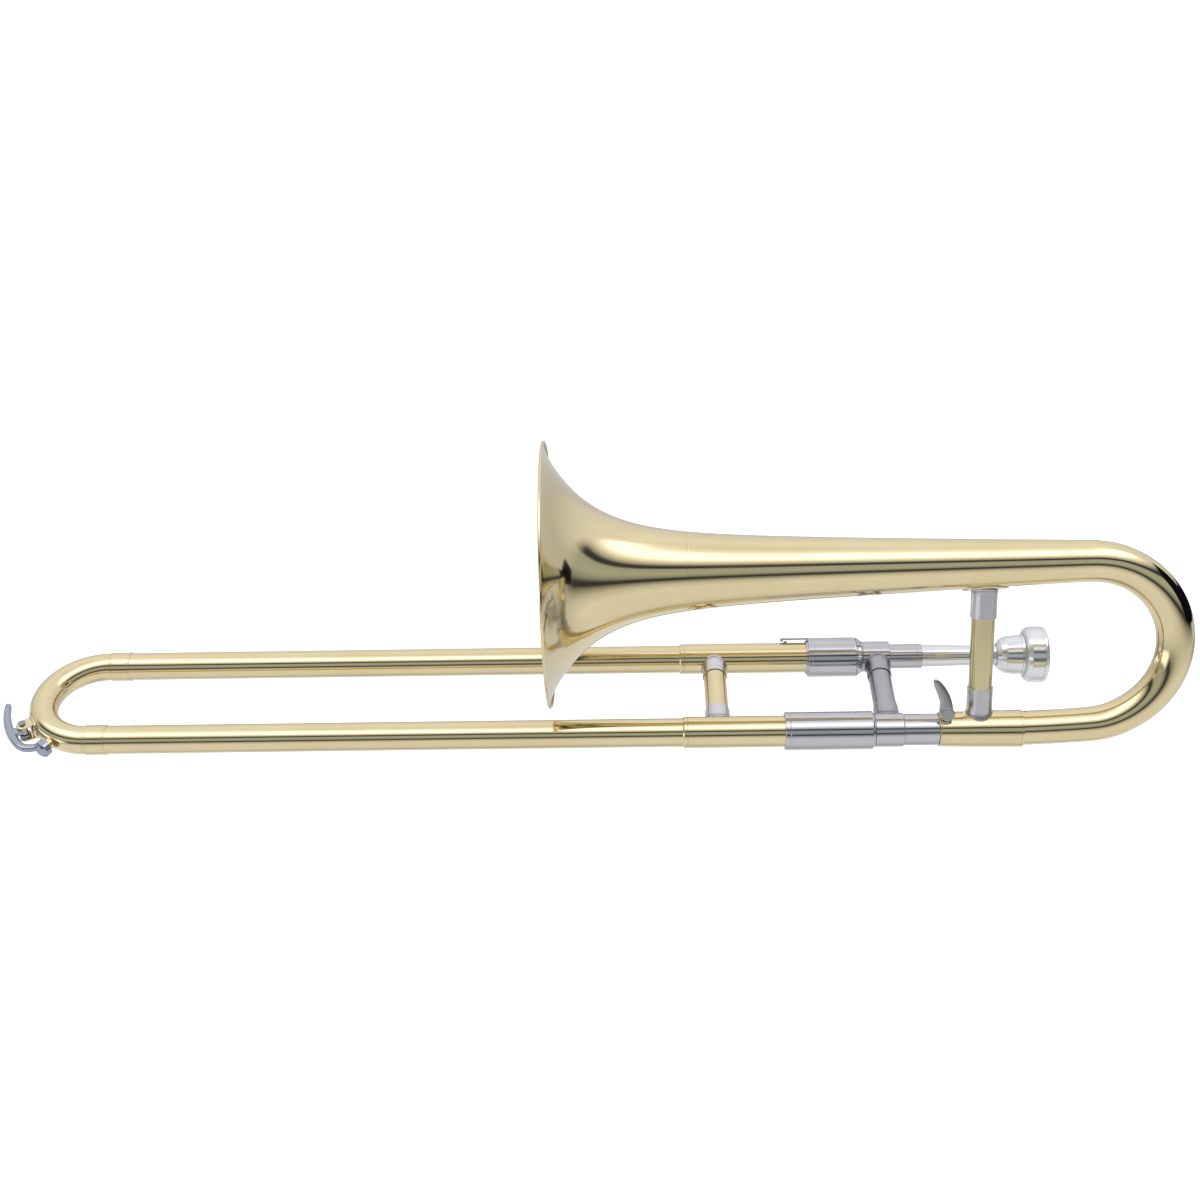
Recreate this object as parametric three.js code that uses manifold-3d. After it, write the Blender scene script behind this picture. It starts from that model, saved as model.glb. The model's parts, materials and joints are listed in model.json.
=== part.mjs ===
// A soprano trombone in B flat, as an assembly of the pieces it comes apart into on a bench.
//
// Frame, in millimetres: +X points at the player, +Z from the slide up to the bell, and the origin
// lies on the axis of the slide's bell-side tube, where the left hand's brace meets it. The bell
// section lies in the plane y = 0. The slide is a flat frame turned away from that plane about the
// X axis: its bell-side ("lower") tube keeps z = 0, and its mouthpiece-side ("upper") tube leans
// towards +Y.

import * as THREE from "three";
import { mergeVertices } from "three/addons/utils/BufferGeometryUtils.js";
import Module from "manifold-3d";

const wasm = await Module();
wasm.setup();
const { degToRad } = THREE.MathUtils;

// Driving dimensions
const SLIDE_SPACING = 52.5; // between the two slide tubes' axes
const SLIDE_LEAN = degToRad(67.2); // from the bell plane to the slide plane
const BELL_TOE = degToRad(0.68); // the bell's axis dips this much towards its rim

// Sides of the round sections, and the gap that soldered or fitted pieces keep
const SIDES = 20;
const BELL_SIDES = 36;
const GAP = 0.3;

// Slide tubes
const INNER_R = 5.9;
const INNER_BORE = 5.6;
const STOCKING_R = 6.05;
const STOCKING_LENGTH = 70;
const OUTER_BORE = 6.12;
const OUTER_R = 6.75;
const INNER_LEFT = -366;
const OUTER_RIGHT = -13.2;
const BOW_X = -377.2; // the slide bow's centre
const BOW_R = SLIDE_SPACING / 2;
const BOW_TUBE_R = 6.75;
const BOW_FERRULE_R = 7.1;
const BOW_FERRULE_RIGHT = -367;
const SLEEVE_LEFT = -95.5;
const SLEEVE_R = 7.4;

// Cork barrels, which take in the outer slide's ends, and the collars that carry them
const BARREL_LEFT = -47.9;
const BARREL_R = 9;
const UPPER_BARREL_LEFT = -33.5;
const UPPER_BARREL_R = 8.4;
const BARREL_BORE = 7.75;
const BARREL_RIGHT = -6.4;
const COLLAR_LEFT = -5.6;
const COLLAR_RIGHT = 7.2;
const SKIRT_LEFT = -11;
const UPPER_COLLAR_R = 7.5;
const LOWER_COLLAR_R = 7.9;
const CORK_LEFT = -13;

// Slide lock: angles are measured about the upper tube, from local +Z towards local -Y
const LOCK_LEFT = -32.5;
const LOCK_RIGHT = -9.3;
const LOCK_R = 9.65;
const LOCK_BORE = 8.6;
const LOCK_TURN = degToRad(24);
const LOCK_TIP_X = -45.9;
const LOCK_ARM_ANGLE = degToRad(51.9);
const LOCK_STUD_ANGLE = degToRad(141.9);
const LOCK_STUD_X = -7.9;
const LOCK_STUD_R = 1.2;
const LOCK_TAB = degToRad(13); // half the width of the tab that carries the stud

// Mouthpiece and its receiver
const RECEIVER_LEFT = 3.7;
const RECEIVER_RIGHT = 23.4;
const RECEIVER_R = 6;
const MOUTHPIECE_LEFT = -0.8;
const MOUTHPIECE_RIGHT = 83.8;
const SHANK_R = 5.3; // where the shank leaves the receiver
const SHANK_TIP_R = 4.6;

// Joint between the slide and the bell
const TENON_SLEEVE_RIGHT = 23.3;
const TENON_SLEEVE_R = 7.4;
const TENON_RIGHT = 50;
const TENON_R = 6.95;
const SOCKET_LEFT = 23.7;
const SOCKET_RIGHT = 62.4;
const SOCKET_BORE = 7.1;
const SOCKET_R = 8.1; // at its mouth
const SOCKET_END_R = 8.75;

// Clamp on the bell socket
const CLAMP_X = 26.4;
const CLAMP_Z = 10.4;
const CLAMP_SCREW_R = 1.25;
const CLAMP_BOSS_R = 3.3;
const SLIT = 1.2;

// Bell section
const BELL_RIM_X = -157.6;
const BELL_SEAM_X = -93.5;
const BELL_END_X = 86; // where the bell's stem meets the bow
const BELL_Z = 80.45; // its axis there
const BELL_WALL = 0.8;
const BELL_BOW_X = 89.6; // centre of the bow's bend, and its half sizes
const BELL_BOW_HALF_LENGTH = 41.5;
const BELL_BOW_HALF_HEIGHT = 39.55;
const BELL_BOW_LEFT = 53;
const BELL_BRACE_X = 42.5;

// Braces
const HAND_BRACE_X = 1.2;
const OUTER_BRACE_X = -78.6;
const BRACE_R = 5.4;
const BRACE_WALL = 0.8;
const FERRULE_R = 5.9;

// Water key: angles are measured about the slide bow's centre, from -X towards the lower tube
const KEY_PIVOT_ANGLE = degToRad(31);
const KEY_PIVOT_R = 36.8;
const KEY_CUP_ANGLE = degToRad(59);
const KEY_TIP_ANGLE = degToRad(2);
const NIPPLE_TOP = 34.7;

// Finishes
const finish = (name, color, roughness, metalness = 1) => {
  const material = new THREE.MeshStandardMaterial({ color, roughness, metalness });
  material.name = name;
  return material;
};
const brass = finish("lacquered_brass", 0xd9bf7a, 0.12);
const nickel = finish("nickel_silver", 0xb9b6b4, 0.2);
const silver = finish("silver_plate", 0xdcdcd8, 0.08);
const chrome = finish("chrome", 0xd5d8dc, 0.05);
const steel = finish("spring_steel", 0x9a9a9c, 0.3);
const cork = finish("cork", 0xb08a5a, 0.95, 0);

const trombone = new THREE.Group();
const slide = new THREE.Group(); // local +Z runs from the lower tube to the upper one
slide.rotation.x = -SLIDE_LEAN;
const upperLine = new THREE.Group();
upperLine.position.z = SLIDE_SPACING;
slide.add(upperLine);
const bellSection = new THREE.Group();
trombone.add(bellSection, slide);

function place(parent, name, geometry, material) {
  const mesh = new THREE.Mesh(geometry, material);
  mesh.name = name;
  parent.add(mesh);
}

// Shapes

// A solid turned about the X axis, from a profile of [x, radius] pairs that runs rightwards along
// the bore and back leftwards along the outside. It closes on itself unless both its ends lie on
// the axis.
function turned(profile, sides = SIDES) {
  const onAxis = profile[0][1] === 0 && profile.at(-1)[1] === 0;
  const loop = onAxis ? profile : [...profile, profile[0]];
  const points = loop.map(([x, radius]) => new THREE.Vector2(radius, x));
  return new THREE.LatheGeometry(points.reverse(), sides).rotateZ(-Math.PI / 2);
}

function tube(left, right, outer, bore, sides = SIDES) {
  return turned([[left, bore], [right, bore], [right, outer], [left, outer]], sides);
}

// A rod along X.
function bar(left, right, radius, sides = SIDES) {
  return turned([[right, 0], [right, radius], [left, radius], [left, 0]], sides);
}

// A rod along Z.
function post(low, high, radius, sides = 16) {
  return bar(low, high, radius, sides).rotateY(-Math.PI / 2);
}

// A rod along Y.
function pin(low, high, radius, sides = 16) {
  return bar(low, high, radius, sides).rotateZ(Math.PI / 2);
}

function block(x0, x1, y0, y1, z0, z1) {
  return new THREE.BoxGeometry(x1 - x0, y1 - y0, z1 - z0)
    .translate((x0 + x1) / 2, (y0 + y1) / 2, (z0 + z1) / 2);
}

// An outline of [x, z] pairs given thickness along Y, from y0 to y1.
function plate(outline, y0, y1) {
  const shape = new THREE.Shape(outline.map(([x, z]) => new THREE.Vector2(x, z)));
  return new THREE.ExtrudeGeometry(shape, { depth: y1 - y0, bevelEnabled: false })
    .rotateX(Math.PI / 2)
    .translate(0, y1, 0);
}

// Part of a ring about X between two angles, measured from +Z towards -Y.
function ringPiece(left, right, inner, outer, from, to) {
  const steps = 6;
  const angles = Array.from({ length: steps + 1 }, (_, i) => from + ((to - from) * i) / steps);
  const arc = (radius) => angles.map((a) => {
    return new THREE.Vector2(-radius * Math.sin(a), radius * Math.cos(a));
  });
  const shape = new THREE.Shape([...arc(outer), ...arc(inner).reverse()]);
  const toRing = new THREE.Matrix4().makeBasis(
    new THREE.Vector3(0, 1, 0), new THREE.Vector3(0, 0, 1), new THREE.Vector3(1, 0, 0),
  );
  return new THREE.ExtrudeGeometry(shape, { depth: right - left, bevelEnabled: false })
    .applyMatrix4(toRing)
    .translate(left, 0, 0);
}

// Bends a solid that lies along X from 0 to the curve's length, so that its axis follows the curve,
// which lies in a plane of constant Y.
function bend(geometry, curve) {
  const length = curve.getLength();
  const across = new THREE.Vector3(0, 1, 0);
  const position = geometry.getAttribute("position");
  const vertex = new THREE.Vector3();
  for (let i = 0; i < position.count; i += 1) {
    vertex.fromBufferAttribute(position, i);
    const share = THREE.MathUtils.clamp(vertex.x / length, 0, 1);
    const up = curve.getTangentAt(share).cross(across);
    const moved = curve.getPointAt(share)
      .addScaledVector(across, vertex.y)
      .addScaledVector(up, vertex.z);
    position.setXYZ(i, moved.x, moved.y, moved.z);
  }
  return geometry;
}

// A tube bent to a curve. Its outer radius may change along it; with no wall it is solid.
function bentTube(curve, steps, radiusAt, wall = 0) {
  const length = curve.getLength();
  const outside = [];
  for (let i = steps; i >= 0; i -= 1) outside.push([(i / steps) * length, radiusAt(i / steps)]);
  const inside = wall
    ? outside.map(([x, radius]) => [x, radius - wall]).reverse()
    : [[length, 0]];
  const closing = wall ? [] : [[0, 0]];
  return bend(turned([...inside, ...outside, ...closing]), curve);
}

// Cutting and joining

function solid(geometry) {
  const bare = geometry.clone();
  bare.deleteAttribute("normal");
  bare.deleteAttribute("uv");
  const merged = mergeVertices(bare, 1e-4);
  const corners = merged.index.array;
  const whole = [];
  for (let i = 0; i < corners.length; i += 3) {
    const [a, b, c] = corners.slice(i, i + 3);
    if (a !== b && b !== c && c !== a) whole.push(a, b, c);
  }
  return new wasm.Manifold(new wasm.Mesh({
    numProp: 3,
    vertProperties: merged.getAttribute("position").array,
    triVerts: new Uint32Array(whole),
  }));
}

function geometryOf(manifold) {
  const mesh = manifold.getMesh();
  return new THREE.BufferGeometry()
    .setAttribute("position", new THREE.BufferAttribute(mesh.vertProperties, 3))
    .setIndex(new THREE.BufferAttribute(mesh.triVerts, 1));
}

function cut(geometry, ...tools) {
  return geometryOf(tools.reduce((body, tool) => body.subtract(solid(tool)), solid(geometry)));
}

function join(...geometries) {
  return geometryOf(geometries.map(solid).reduce((body, other) => body.add(other)));
}

// Inner slide: the fixed frame that the left hand holds

function innerTube(right) {
  const stockingEnd = INNER_LEFT + STOCKING_LENGTH;
  return turned([
    [INNER_LEFT, INNER_BORE],
    [right, INNER_BORE],
    [right, INNER_R],
    [stockingEnd + 2, INNER_R],
    [stockingEnd, STOCKING_R],
    [INNER_LEFT, STOCKING_R],
  ]);
}

// A collar whose narrower skirt holds the cork barrel.
function collar(radius, bore) {
  const edge = 0.5;
  const skirtR = BARREL_BORE - 0.1;
  return turned([
    [SKIRT_LEFT, bore],
    [COLLAR_RIGHT, bore],
    [COLLAR_RIGHT, radius - edge],
    [COLLAR_RIGHT - edge, radius],
    [COLLAR_LEFT + edge, radius],
    [COLLAR_LEFT, radius - edge],
    [COLLAR_LEFT, skirtR],
    [SKIRT_LEFT, skirtR],
  ]);
}

// A ferrule along +Z that holds one end of a brace, saddled to a tube of radius tubeR along X.
function braceFoot(tubeR, length, radius, bore, flange) {
  const depth = 4;
  const ferrule = turned([
    [length - depth, 0],
    [length - depth, bore],
    [length, bore],
    [length, radius],
    [tubeR + 3.2, radius],
    [tubeR + 1.8, radius + flange],
    [0, radius + flange],
    [0, 0],
  ], 18).rotateY(-Math.PI / 2);
  return cut(ferrule, bar(-20, 20, tubeR + GAP));
}

function braceTube(low, high) {
  return tube(low, high, BRACE_R, BRACE_R - BRACE_WALL, 18).rotateY(-Math.PI / 2);
}

function buildInnerSlide() {
  place(slide, "inner_slide_tube_lower", innerTube(COLLAR_RIGHT - 0.6), chrome);
  place(upperLine, "inner_slide_tube_upper", innerTube(RECEIVER_LEFT - GAP), chrome);
  place(slide, "collar_lower", collar(LOWER_COLLAR_R, INNER_R + GAP), nickel);
  place(upperLine, "collar_upper", collar(UPPER_COLLAR_R, RECEIVER_R + GAP / 2), nickel);
  for (const [end, line] of [["lower", slide], ["upper", upperLine]]) {
    const ring = tube(CORK_LEFT, SKIRT_LEFT - 0.1, BARREL_BORE - 0.2, INNER_R + 0.1);
    place(line, `bumper_cork_${end}`, ring, cork);
  }

  const lowerBarrel = turned([
    [BARREL_LEFT, BARREL_BORE],
    [BARREL_RIGHT, BARREL_BORE],
    [BARREL_RIGHT, BARREL_R - 0.6],
    [BARREL_RIGHT - 1.2, BARREL_R],
    [BARREL_LEFT + 0.5, BARREL_R],
    [BARREL_LEFT, BARREL_R - 0.4],
  ]);
  place(slide, "cork_barrel_lower", lowerBarrel, nickel);
  const upperBarrel = turned([
    [UPPER_BARREL_LEFT, BARREL_BORE],
    [BARREL_RIGHT, BARREL_BORE],
    [BARREL_RIGHT, UPPER_BARREL_R - 0.5],
    [LOCK_RIGHT + 1.2, LOCK_R - 0.3],
    [LOCK_RIGHT + 0.3, LOCK_R - 0.1],
    [LOCK_RIGHT + 0.3, UPPER_BARREL_R],
    [UPPER_BARREL_LEFT, UPPER_BARREL_R],
  ], 24);
  const margin = LOCK_TAB + degToRad(2);
  const slot = ringPiece(
    LOCK_RIGHT, COLLAR_LEFT, UPPER_BARREL_R, 12,
    LOCK_STUD_ANGLE - LOCK_TURN - margin, LOCK_STUD_ANGLE + margin,
  );
  place(upperLine, "cork_barrel_upper", cut(upperBarrel, slot), nickel);

  place(upperLine, "leadpipe", tube(-150, -1.6, 5.45, 4.9), brass);
  const receiver = turned([
    [RECEIVER_LEFT, shankRadius(RECEIVER_LEFT) + 0.1],
    [RECEIVER_RIGHT, SHANK_R + 0.1],
    [RECEIVER_RIGHT, RECEIVER_R - 0.3],
    [RECEIVER_RIGHT - 0.5, RECEIVER_R],
    [RECEIVER_LEFT, RECEIVER_R],
  ]);
  place(upperLine, "mouthpiece_receiver", receiver, nickel);

  const socket = 15;
  const overlap = 3.6;
  const span = braceTube(socket - overlap, SLIDE_SPACING - socket + overlap);
  place(slide, "hand_brace_tube", span.translate(HAND_BRACE_X, 0, 0), nickel);
  const foot = braceFoot(LOWER_COLLAR_R, socket, FERRULE_R, BRACE_R + GAP / 2, 0.7);
  place(slide, "hand_brace_foot_lower", foot.translate(HAND_BRACE_X, 0, 0), nickel);
  const head = braceFoot(UPPER_COLLAR_R, socket, FERRULE_R, BRACE_R + GAP / 2, 0.5);
  head.rotateX(Math.PI).translate(HAND_BRACE_X, 0, 0);
  place(upperLine, "hand_brace_foot_upper", head, nickel);

  const tenon = turned([
    [COLLAR_RIGHT + GAP, INNER_BORE],
    [TENON_RIGHT, INNER_BORE],
    [TENON_RIGHT, TENON_R - 0.15],
    [TENON_SLEEVE_RIGHT, TENON_R],
    [TENON_SLEEVE_RIGHT, TENON_SLEEVE_R],
    [COLLAR_RIGHT + GAP, TENON_SLEEVE_R],
  ], 24);
  place(slide, "bell_tenon", tenon, nickel);
}

// Slide lock: a sleeve that turns on the upper cork barrel. A stud on its tab runs in the slot of the
// barrel's end ring. Its arm reaches over the grip sleeve, and the tooth at the arm's end hooks
// behind a catch on the outer slide.

function buildSlideLock() {
  const sleeve = turned([
    [LOCK_LEFT, LOCK_BORE],
    [LOCK_RIGHT, LOCK_BORE],
    [LOCK_RIGHT, LOCK_R - 0.1],
    [LOCK_RIGHT - 0.4, LOCK_R],
    [LOCK_LEFT + 0.5, LOCK_R],
    [LOCK_LEFT, LOCK_R - 0.4],
  ], 24);
  const arm = block(LOCK_TIP_X, LOCK_LEFT + 1.5, -1.9, 1.9, LOCK_BORE + 0.15, LOCK_R);
  const tooth = block(LOCK_TIP_X, LOCK_TIP_X + 1.5, -1.9, 1.9, SLEEVE_R + 0.5, LOCK_R - 0.2);
  const hook = solid(join(arm, tooth).rotateX(LOCK_ARM_ANGLE));
  const tab = solid(ringPiece(
    LOCK_RIGHT - 0.5, BARREL_RIGHT + 0.1, LOCK_BORE, LOCK_R - 0.3,
    LOCK_STUD_ANGLE - LOCK_TAB, LOCK_STUD_ANGLE + LOCK_TAB,
  ));
  const onTab = (geometry) => geometry.translate(LOCK_STUD_X, 0, 0).rotateX(LOCK_STUD_ANGLE);
  const hole = solid(onTab(post(6, 12, LOCK_STUD_R + 0.08, 12)));
  const body = solid(sleeve).add(hook).add(tab).subtract(hole);
  place(upperLine, "slide_lock_sleeve", geometryOf(body), nickel);
  const stud = turned([
    [LOCK_R + 1.3, 0],
    [LOCK_R + 1, LOCK_STUD_R * 0.7],
    [LOCK_R + 0.3, LOCK_STUD_R],
    [LOCK_BORE + 0.1, LOCK_STUD_R],
    [LOCK_BORE + 0.1, 0],
  ], 12).rotateY(-Math.PI / 2);
  place(upperLine, "lock_stop_stud", onTab(stud), silver);
}

// Outer slide: everything that the right hand moves

class HalfCircle extends THREE.Curve {
  getPoint(t) {
    const a = Math.PI * (t - 0.5);
    return new THREE.Vector3(BOW_X - BOW_R * Math.cos(a), 0, BOW_R + BOW_R * Math.sin(a));
  }
}

// Moves a piece that stands along +Z, with local +X towards the key's touch, to an angle round the
// slide bow. Its heights are then radii from the bow's centre.
function atBow(geometry, angle) {
  return geometry.rotateY(-Math.PI / 2 - angle).translate(BOW_X, 0, BOW_R);
}

function buildOuterSlide() {
  for (const [end, line] of [["lower", slide], ["upper", upperLine]]) {
    const outer = tube(BOW_X + 3.2, OUTER_RIGHT, OUTER_R, OUTER_BORE);
    place(line, `outer_slide_tube_${end}`, outer, brass);
    const ferrule = turned([
      [BOW_X + 0.3, OUTER_R + 0.1],
      [BOW_FERRULE_RIGHT, OUTER_R + 0.1],
      [BOW_FERRULE_RIGHT, BOW_FERRULE_R - 0.15],
      [BOW_FERRULE_RIGHT - 0.3, BOW_FERRULE_R],
      [BOW_X + 0.3, BOW_FERRULE_R],
    ]);
    place(line, `bow_ferrule_${end}`, ferrule, brass);
    const grip = turned([
      [SLEEVE_LEFT, OUTER_R + 0.1],
      [OUTER_RIGHT, OUTER_R + 0.1],
      [OUTER_RIGHT, SLEEVE_R],
      [SLEEVE_LEFT + 0.8, SLEEVE_R],
      [SLEEVE_LEFT, SLEEVE_R - 0.4],
    ]);
    place(line, `grip_sleeve_${end}`, grip, brass);
  }
  const catchStud = post(SLEEVE_R + 0.1, LOCK_BORE + 0.05, 1.1, 10)
    .translate(LOCK_TIP_X + 2.9, 0, 0)
    .rotateX(LOCK_ARM_ANGLE - LOCK_TURN);
  place(upperLine, "slide_lock_catch", catchStud, nickel);

  const bow = bentTube(new HalfCircle(), 18, () => BOW_TUBE_R, BOW_TUBE_R - INNER_BORE);
  const drain = atBow(post(28, 40, 1.2, 10), KEY_CUP_ANGLE);
  place(slide, "slide_bow", cut(bow, drain), brass);

  const socket = 14;
  const overlap = 3.6;
  const line = new THREE.Group();
  line.position.x = OUTER_BRACE_X;
  const farEnd = new THREE.Group();
  farEnd.position.z = SLIDE_SPACING;
  line.add(farEnd);
  slide.add(line);
  const span = braceTube(socket - overlap, SLIDE_SPACING - socket + overlap);
  place(line, "slide_brace_tube", span, brass);
  const foot = () => braceFoot(SLEEVE_R, socket, FERRULE_R, BRACE_R + GAP / 2, 0.4);
  place(line, "slide_brace_foot_lower", foot(), nickel);
  place(farEnd, "slide_brace_foot_upper", foot().rotateX(Math.PI), nickel);
}

// Water key, on the outside of the slide bow

function buildWaterKey() {
  const bowSkin = bentTube(new HalfCircle(), 18, () => BOW_TUBE_R + 0.1);
  const surface = BOW_R + BOW_TUBE_R;
  const bore = atBow(pin(-6, 6, 0.95, 14).translate(0, 0, KEY_PIVOT_R), KEY_PIVOT_ANGLE);

  const ears = [[-4, -2.7], [3.9, 5.2]].map(([y0, y1]) => {
    return join(
      block(-2.9, 2.9, y0, y1, surface - 2, KEY_PIVOT_R),
      pin(y0, y1, 2.9, 14).translate(0, 0, KEY_PIVOT_R),
    );
  });
  const base = block(-4.4, 4.4, -4, 5.2, surface - 2.4, surface + 0.8);
  const saddle = atBow(join(base, ...ears), KEY_PIVOT_ANGLE);
  place(slide, "water_key_saddle", cut(saddle, bowSkin, bore), brass);

  const nipple = atBow(post(surface - 2, NIPPLE_TOP, 2.6, 14), KEY_CUP_ANGLE);
  const hole = atBow(post(20, 40, 1.2, 10), KEY_CUP_ANGLE);
  place(slide, "water_key_nipple", cut(nipple, bowSkin, hole), brass);

  const screw = join(pin(-4.6, 5.2, 0.85, 14), pin(-5.2, -4.1, 1.6, 14));
  place(
    slide, "water_key_screw",
    atBow(screw.translate(0, 0, KEY_PIVOT_R), KEY_PIVOT_ANGLE), steel,
  );

  const arc = (from, to, radiusAt) => {
    const steps = 16;
    return Array.from({ length: steps + 1 }, (_, i) => {
      const a = from + ((to - from) * i) / steps;
      const r = radiusAt((KEY_CUP_ANGLE - a) / (KEY_CUP_ANGLE - KEY_TIP_ANGLE));
      return [BOW_X - r * Math.cos(a), BOW_R - r * Math.sin(a)];
    });
  };
  const back = (t) => 45 - 7 * Math.exp(-((t / 0.13) ** 2));
  const thick = (t) => 3.2 + 1.2 * Math.sin(Math.PI * t) - 0.4 * t;
  const front = (t) => Math.max(back(t) - thick(t), 36.5);
  const strip = plate(
    [...arc(KEY_CUP_ANGLE, KEY_TIP_ANGLE, back), ...arc(KEY_TIP_ANGLE, KEY_CUP_ANGLE, front)],
    -2.3, 1.3,
  );
  const hub = atBow(join(
    pin(-2.5, 3.7, 1.9, 14).translate(0, 0, KEY_PIVOT_R),
    block(-2, 2, -2.3, 1.3, KEY_PIVOT_R, KEY_PIVOT_R + 4.4),
  ), KEY_PIVOT_ANGLE);
  const cup = atBow(turned([
    [36.4, 0],
    [36.4, 3.7],
    [NIPPLE_TOP + 0.5, 3.7],
    [NIPPLE_TOP + 0.5, 4.2],
    [38.6, 4.2],
    [39.3, 3.2],
    [39.3, 0],
  ].reverse(), 16).rotateY(-Math.PI / 2), KEY_CUP_ANGLE);
  place(slide, "water_key_lever", cut(join(strip, hub, cup), bore), chrome);
  const pad = atBow(post(NIPPLE_TOP + 0.05, 36.3, 3.6, 16), KEY_CUP_ANGLE);
  place(slide, "water_key_pad", pad, cork);

  class Coil extends THREE.Curve {
    getPoint(t) {
      const a = 2 * Math.PI * 2.5 * t;
      return new THREE.Vector3(2.4 * Math.cos(a), 1.75 + 1.7 * t, 2.4 * Math.sin(a));
    }
  }
  const wire = new THREE.Shape().absarc(0, 0, 0.28, 0, 2 * Math.PI, false);
  const coil = new THREE.ExtrudeGeometry(wire, {
    extrudePath: new Coil(), steps: 26, curveSegments: 5, bevelEnabled: false,
  }).translate(0, 0, KEY_PIVOT_R);
  place(slide, "water_key_spring", atBow(coil, KEY_PIVOT_ANGLE), steel);
}

// Mouthpiece

function shankRadius(x) {
  const share = (x - MOUTHPIECE_LEFT) / (RECEIVER_RIGHT - MOUTHPIECE_LEFT);
  return THREE.MathUtils.lerp(SHANK_TIP_R, SHANK_R, share);
}

function buildMouthpiece() {
  const right = MOUTHPIECE_RIGHT;
  const profile = [
    [MOUTHPIECE_LEFT, 3.9], // backbore
    [40, 2.6],
    [right - 25, 1.9],
    [right - 22, 1.9], // throat
    [right - 19, 3.6], // cup
    [right - 15, 6.2],
    [right - 9.5, 7.9],
    [right - 3, 8.6],
    [right - 0.9, 9.4], // rim
    [right, 10.8],
    [right, 12],
    [right - 0.8, 13.3],
    [right - 2.4, 13.7],
    [right - 8.6, 13.6],
    [right - 10.2, 12.5],
    [right - 10.7, 10.1],
    [right - 12, 9.7],
    [right - 16, 9.5], // cup's outside
    [right - 19.8, 9],
    [right - 22.2, 7.6],
    [right - 24, 5.5],
    [right - 25.2, 4.8],
    [50, 4.8], // shank
    [30, 5.3],
    [RECEIVER_RIGHT, SHANK_R],
    [MOUTHPIECE_LEFT, SHANK_TIP_R],
  ];
  place(upperLine, "mouthpiece", turned(profile, 24), silver);
}

// Bell section

// The bell's outer radius at a distance from its rim: a slow cone, a flare that dies away over a
// hand's width, and a last sharp turn outwards at the rim.
function bellRadius(fromRim) {
  const cone = 19.99 - 0.0523 * fromRim + 0.0000409 * fromRim ** 2;
  return cone + 38 * Math.exp(-fromRim / 19.8) + 3.2 * Math.exp(-fromRim);
}

// The two sides of a shell whose outside follows bellRadius, with its inside set in by the wall.
function bellShell(stations) {
  const step = 0.01;
  const outside = stations.map((s) => [BELL_RIM_X + s, bellRadius(s)]);
  const inside = stations.map((s, i) => {
    const slope = (bellRadius(s + step) - bellRadius(s)) / step;
    const normal = Math.hypot(slope, 1);
    const [x, radius] = outside[i];
    return [x + (slope * BELL_WALL) / normal, radius - BELL_WALL / normal];
  });
  return { outside: outside.reverse(), inside };
}

function placeOnBellAxis(name, geometry, material) {
  geometry.translate(-BELL_END_X, 0, 0).rotateY(-BELL_TOE).translate(BELL_END_X, 0, BELL_Z);
  place(bellSection, name, geometry, material);
}

function buildBell() {
  const seam = BELL_SEAM_X - BELL_RIM_X;
  const end = BELL_END_X - BELL_RIM_X;
  const flare = bellShell([0.9, 2.4, 4.5, 7.5, 12, 18, 26, 36, 48, seam - 0.1]);
  const rimR = bellRadius(0);
  const rim = [
    [1.1, 1.9], [2.1, 1.2], [1.7, 0.3], [0.9, 0], [0.25, 0.4], [0, 1.1], [0, 2.3],
  ].map(([back, inwards]) => [BELL_RIM_X + back, rimR - inwards]);
  const shell = [...flare.inside, ...flare.outside, ...rim];
  placeOnBellAxis("bell_flare", turned(shell, BELL_SIDES), brass);
  const stem = bellShell([seam + 0.1, seam + 30, seam + 70, seam + 120, end]);
  placeOnBellAxis("bell_stem", turned([...stem.inside, ...stem.outside], 24), brass);
}

class BellBow extends THREE.CatmullRomCurve3 {
  constructor() {
    const centreZ = BELL_Z - BELL_BOW_HALF_HEIGHT;
    const points = [[BELL_BOW_LEFT, 0], [60, 0.1], [68, 0.3], [79, 0.75]];
    for (let a = -90; a <= 90; a += 15) {
      const turn = degToRad(a);
      points.push([
        BELL_BOW_X + BELL_BOW_HALF_LENGTH * Math.cos(turn),
        centreZ + BELL_BOW_HALF_HEIGHT * Math.sin(turn),
      ]);
    }
    points.push([BELL_END_X + 0.4, BELL_Z]);
    super(points.map(([x, z]) => new THREE.Vector3(x, 0, z)));
  }
}

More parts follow.
